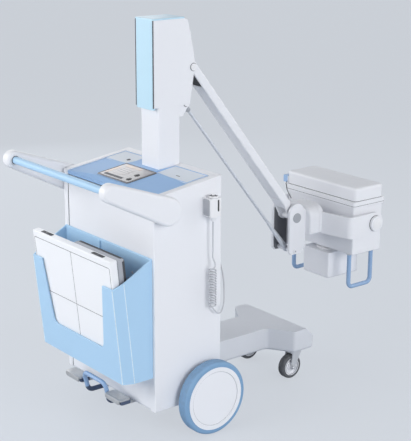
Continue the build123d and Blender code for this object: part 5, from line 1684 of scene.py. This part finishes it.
@dataclass
class HandSwitch:
    """The exposure hand switch with its curly cord."""

    wardrobe: Wardrobe
    turns: int = 14
    per_turn: int = 16
    wire_r: float = 0.0025
    coil_r: float = 0.0103
    phase: float = 0.55
    lead: float = 0.058
    lead_points: int = 16
    lead_climb: float = 2.5
    lead_widen: float = 2.6
    slot: tuple[float, float] = (-0.2265, 0.7750)
    tail: Sequence[Point] = field(default_factory=lambda: [
        (0.176, -0.174, 0.572), (0.176, -0.141, 0.572), (0.200, -0.139, 0.550), (0.228, -0.147, 0.514),
        (0.256, -0.163, 0.468), (0.2801, -0.1847, 0.4213), (0.2793, -0.2048, 0.3956), (0.2745, -0.2316, 0.4287),
        (0.2741, -0.2350, 0.4325)])

    def route(self) -> list[Point]:
        """Work out the cord's control points: the tail, the helix that it runs into, and the closing lead.

        Returns:
            The points in metres, from the gland to the switch.
        """
        coil_low, coil_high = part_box("cord_coil")
        axis_x, axis_y = (coil_low.x + coil_high.x) / 2, (coil_low.y + coil_high.y) / 2
        start, stop = coil_low.z + 0.0025, coil_high.z - 0.0025
        climb = (stop - start) / self.turns
        share = self.lead_points / self.per_turn
        rest = self.lead - climb * share

        def knot(turn: float, radius: float, height: float) -> Point:
            """Place one point round the coil's axis."""
            angle = 2 * math.pi * (turn + self.phase)
            return axis_x + radius * math.cos(angle), axis_y + radius * math.sin(angle), height

        points = list(self.tail)
        count = self.turns * self.per_turn
        for k in range(count + 1):
            points.append(knot(k / self.per_turn, self.coil_r, start + (stop - start) * k / count))
        for k in range(self.lead_points):
            gone = (k + 1) / (self.lead_points + 1)
            points.append(knot(share * gone, self.coil_r * (1 - gone ** self.lead_widen),
                               stop + climb * share * gone + rest * gone ** self.lead_climb))
        points.append((axis_x, axis_y, stop + self.lead + 0.014))
        points.append((axis_x, axis_y, stop + self.lead + 0.070))
        points.append((axis_x, axis_y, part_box("hand_switch")[0].z))
        return points

    def build(self) -> None:
        """Make the cord and the switch's fine parts."""
        self.cord()
        maker = Maker(self.wardrobe, "chassis")
        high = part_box("hand_switch")[1]
        centre = middle_of("hand_switch")
        hold_low, hold_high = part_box("hand_switch_holder")
        maker.lathe("switch_head", Look.SWITCH_WHITE, (centre.x, centre.y, hold_high.z), (0, 0, 1),
                    [(-0.0004, 0.0165), (0.0022, 0.0172), (0.0052, 0.0160), (0.0060, 0.0126)], 48)
        maker.lathe("switch_head_line", Look.JOINT, (centre.x, centre.y, hold_high.z), (0, 0, 1),
                    [(0.0004, 0.0171), (0.0004, 0.0175), (0.0012, 0.0177), (0.0012, 0.0171)], 48)
        maker.lathe("switch_button_ring", Look.INK, (centre.x, centre.y, high.z), (0, 0, 1),
                    [(-0.0030, 0.0082), (-0.0006, 0.0082), (-0.0006, 0.0064), (-0.0030, 0.0064)], 32)
        maker.lathe("switch_button", Look.SWITCH_WHITE, (centre.x, centre.y, high.z), (0, 0, 1),
                    [(-0.0052, 0.0058), (-0.0006, 0.0058), (0.0004, 0.0044), (0.0007, 0.0)], 32)
        maker.slab("holder_slot", Look.RUBBER, rounded(0.0062, 0.0380, 0.0028),
                   seat((hold_high.x, self.slot[0], self.slot[1]), (0, 1, 0), (0, 0, 1)), 0.0005, 0.0001)
        # A grey sheet on the holder's rear face only, which makes that face darker than the white holder
        maker.slab("holder_rear_grey", Look.HOLDER_REAR_GREY,
                   rounded(hold_high.x - hold_low.x - 0.008, hold_high.z - hold_low.z - 0.006, 0.006),
                   seat(((hold_low.x + hold_high.x) / 2, hold_low.y, (hold_low.z + hold_high.z) / 2), (1, 0, 0),
                        (0, 0, 1)), 0.0008, 0.0003)
        maker.lathe("gland_nut", Look.SWITCH_WHITE, (0.176, -0.1815, 0.572), (0, 1, 0),
                    [(0.0, 0.0079), (0.0, 0.0105), (0.004, 0.0105), (0.005, 0.0095), (0.005, 0.0079)], 6)

    def cord(self) -> bpy.types.Object:
        """Lay the cord as one smooth spline.

        Returns:
            The cord.
        """
        points = self.route()
        data = bpy.data.curves.new("hand_cord", "CURVE")
        data.dimensions = "3D"
        data.bevel_depth = 1.0
        data.bevel_resolution = 3
        data.resolution_u = 6
        data.use_fill_caps = True
        spline = data.splines.new("NURBS")
        spline.points.add(len(points) - 1)
        for knot, at in zip(spline.points, points):
            knot.co = (*at, 1.0)
            knot.radius = self.wire_r
        spline.order_u = 3
        spline.use_endpoint_u = True
        piece = bpy.data.objects.new("hand_cord", data)
        bpy.context.scene.collection.objects.link(piece)
        self.wardrobe.dress(piece, Look.CORD)
        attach(piece, "chassis")
        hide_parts("cord_coil", "cord_lead", "cord_tail")
        length = self.measure(piece)
        log.info("hand_cord is %.3f m long in %d turns", length, self.turns)
        return piece

    @staticmethod
    def measure(piece: bpy.types.Object) -> float:
        """Measure a curve's own line.

        Args:
            piece: The curve.

        Returns:
            Its length in metres.
        """
        data = piece.data
        depth, data.bevel_depth = data.bevel_depth, 0.0
        bpy.context.view_layer.update()
        line = bpy.data.meshes.new_from_object(piece.evaluated_get(bpy.context.evaluated_depsgraph_get()))
        data.bevel_depth = depth
        corners = [vertex.co.copy() for vertex in line.vertices]
        bpy.data.meshes.remove(line)
        return sum((b - a).length for a, b in zip(corners, corners[1:]))


@dataclass
class Cabinet:
    """The cabinet: the dark joints between its rear panel and its side plates."""

    wardrobe: Wardrobe
    joint_w: float = 0.0022

    def build(self) -> None:
        """Dress the cabinet."""
        maker = Maker(self.wardrobe, "chassis")
        low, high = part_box("cabinet_rear_panel")
        for side, sign in SIDES:
            edge = high.x + 0.0004
            maker.slab(f"panel_joint_{side}", Look.SEAM,
                       [(sign * (edge - self.joint_w), low.z), (sign * edge, low.z), (sign * edge, high.z),
                        (sign * (edge - self.joint_w), high.z)],
                       seat((0, low.y + 0.0001, 0), (1, 0, 0), (0, 0, 1)), 0.0004)


# Studio


@dataclass
class Studio:
    """Floor, lamps, world and camera."""

    azimuth: float = 51.59
    elevation: float = 15.84
    roll: float = 0.2
    distance: float = 4.16905
    target: Point = (0.0, -0.041, 0.6265)
    lens: float = 36.0 * 1199.0 / 441.0
    floor_tone: Colour = paint(224, 229, 236)
    floor_paint: Colour = paint(196, 203, 212)
    floor_glow: float = 0.68

    def build(self) -> None:
        """Set up the studio."""
        scene = bpy.context.scene
        scene.view_settings.view_transform = "Standard"
        self.camera()
        self.floor()
        self.world()
        self.lamps()

    def camera(self) -> None:
        """Stand the camera where the photograph was taken from."""
        az, el, roll = (math.radians(a) for a in (self.azimuth, self.elevation, self.roll))
        back = Vector((math.sin(az) * math.cos(el), -math.cos(az) * math.cos(el), math.sin(el)))
        right = Vector((math.cos(az), math.sin(az), 0.0))
        up = back.cross(right)
        right, up = (right * math.cos(roll) + up * math.sin(roll), up * math.cos(roll) - right * math.sin(roll))
        data = bpy.data.cameras.new("camera")
        data.lens = self.lens
        data.sensor_width = 36.0
        data.clip_end = 100.0
        piece = bpy.data.objects.new("camera", data)
        bpy.context.scene.collection.objects.link(piece)
        spot = Vector(self.target) + back * self.distance
        piece.matrix_world = Matrix(((right.x, up.x, back.x, spot.x), (right.y, up.y, back.y, spot.y),
                                     (right.z, up.z, back.z, spot.z), (0, 0, 0, 1)))
        bpy.context.scene.camera = piece

    def floor(self) -> None:
        """Lay the pale floor, which keeps the machine's shadow."""
        build = bmesh.new()
        bmesh.ops.create_grid(build, x_segments=2, y_segments=2, size=40.0)
        mesh = Maker.to_mesh("floor", build)
        piece = bpy.data.objects.new("floor", mesh)
        bpy.context.scene.collection.objects.link(piece)
        material = bpy.data.materials.new("floor_tone")
        material.use_nodes = True
        material.node_tree.nodes.clear()
        graph = Graph(material.node_tree)
        shader = graph.add("ShaderNodeBsdfPrincipled")
        shader.inputs["Base Color"].default_value = self.floor_paint
        shader.inputs["Roughness"].default_value = 0.55
        shader.inputs["Specular IOR Level"].default_value = 0.2
        glow = graph.add("ShaderNodeEmission")
        glow.inputs["Color"].default_value = self.floor_tone
        both = graph.add("ShaderNodeMixShader")
        seen = graph.add("ShaderNodeLightPath").outputs["Is Camera Ray"]
        graph.feed(both.inputs[0], graph.sum("MULTIPLY", seen, self.floor_glow))
        graph.feed(both.inputs[1], shader.outputs[0])
        graph.feed(both.inputs[2], glow.outputs[0])
        graph.feed(graph.add("ShaderNodeOutputMaterial").inputs["Surface"], both.outputs[0])
        mesh.materials.append(material)

    def world(self) -> None:
        """Fill the room with soft light, stronger from the sides than from above."""
        world = bpy.data.worlds.new("studio")
        bpy.context.scene.world = world
        world.use_nodes = True
        world.node_tree.nodes.clear()
        graph = Graph(world.node_tree)
        split = graph.add("ShaderNodeSeparateXYZ")
        graph.feed(split.inputs[0], graph.add("ShaderNodeTexCoord").outputs["Generated"])
        height = graph.spread(split.outputs["Z"], 0.0, 0.85)
        light = graph.add("ShaderNodeBackground")
        graph.feed(light.inputs["Color"], graph.blend(height, (0.86, 0.88, 0.92, 1.0), (0.28, 0.29, 0.31, 1.0)))
        light.inputs["Strength"].default_value = 0.82
        shown = graph.add("ShaderNodeBackground")
        shown.inputs["Color"].default_value = self.floor_tone
        shown.inputs["Strength"].default_value = 1.0
        path = graph.add("ShaderNodeLightPath")
        seen = graph.sum("MAXIMUM", path.outputs["Is Camera Ray"],
                         graph.sum("MAXIMUM", path.outputs["Is Glossy Ray"], path.outputs["Is Transmission Ray"]))
        mixed = graph.add("ShaderNodeMixShader")
        graph.feed(mixed.inputs[0], seen)
        graph.feed(mixed.inputs[1], light.outputs[0])
        graph.feed(mixed.inputs[2], shown.outputs[0])
        graph.feed(graph.add("ShaderNodeOutputWorld").inputs["Surface"], mixed.outputs[0])

    def lamps(self) -> None:
        """Hang large soft lamps behind, on the right and, weaker, in front and on the left."""
        lamps = (("key", (-0.3, -4.0, 2.0), (0.0, -0.1, 0.75), 2.0, 60.0),
                 ("rear_left", (-3.0, -3.0, 2.2), (0.0, 0.2, 0.7), 2.0, 46.0),
                 ("right", (4.0, -0.2, 1.7), (0.0, -0.1, 0.6), 2.0, 64.0),
                 ("front", (2.4, 3.8, 1.6), (0.0, 0.0, 0.6), 2.4, 24.0),
                 ("left", (-3.8, 1.2, 1.5), (0.0, 0.0, 0.6), 2.4, 16.0))
        for name, spot, aim, size, power in lamps:
            data = bpy.data.lights.new(name, "AREA")
            data.shape = "DISK"
            data.size = size
            data.energy = power
            data.color = (1.0, 0.99, 0.97) if name == "key" else (0.985, 0.985, 0.985)
            piece = bpy.data.objects.new(name, data)
            bpy.context.scene.collection.objects.link(piece)
            piece.location = spot
            piece.rotation_mode = "QUATERNION"
            piece.rotation_quaternion = (Vector(aim) - Vector(spot)).to_track_quat("-Z", "Y")


def main() -> None:
    """Build the studio and every sub-assembly in turn."""
    logging.basicConfig(level=logging.INFO, format="%(name)s: %(message)s")
    wardrobe = Wardrobe()
    Studio().build()
    wardrobe.dress_record()
    assemblies: Iterable[object] = (
        HandSwitch(wardrobe), RearWheels(wardrobe), Casters(wardrobe), CassetteBin(wardrobe), Cassettes(wardrobe),
        ControlTop(wardrobe), Column(wardrobe), LiftArm(wardrobe), HeadYoke(wardrobe), TubeHead(wardrobe),
        PushHandle(wardrobe), FloorBrake(wardrobe), Cabinet(wardrobe))
    for assembly in assemblies:
        log.info("building %s", type(assembly).__name__)
        assembly.build()


if __name__ == "__main__":
    main()
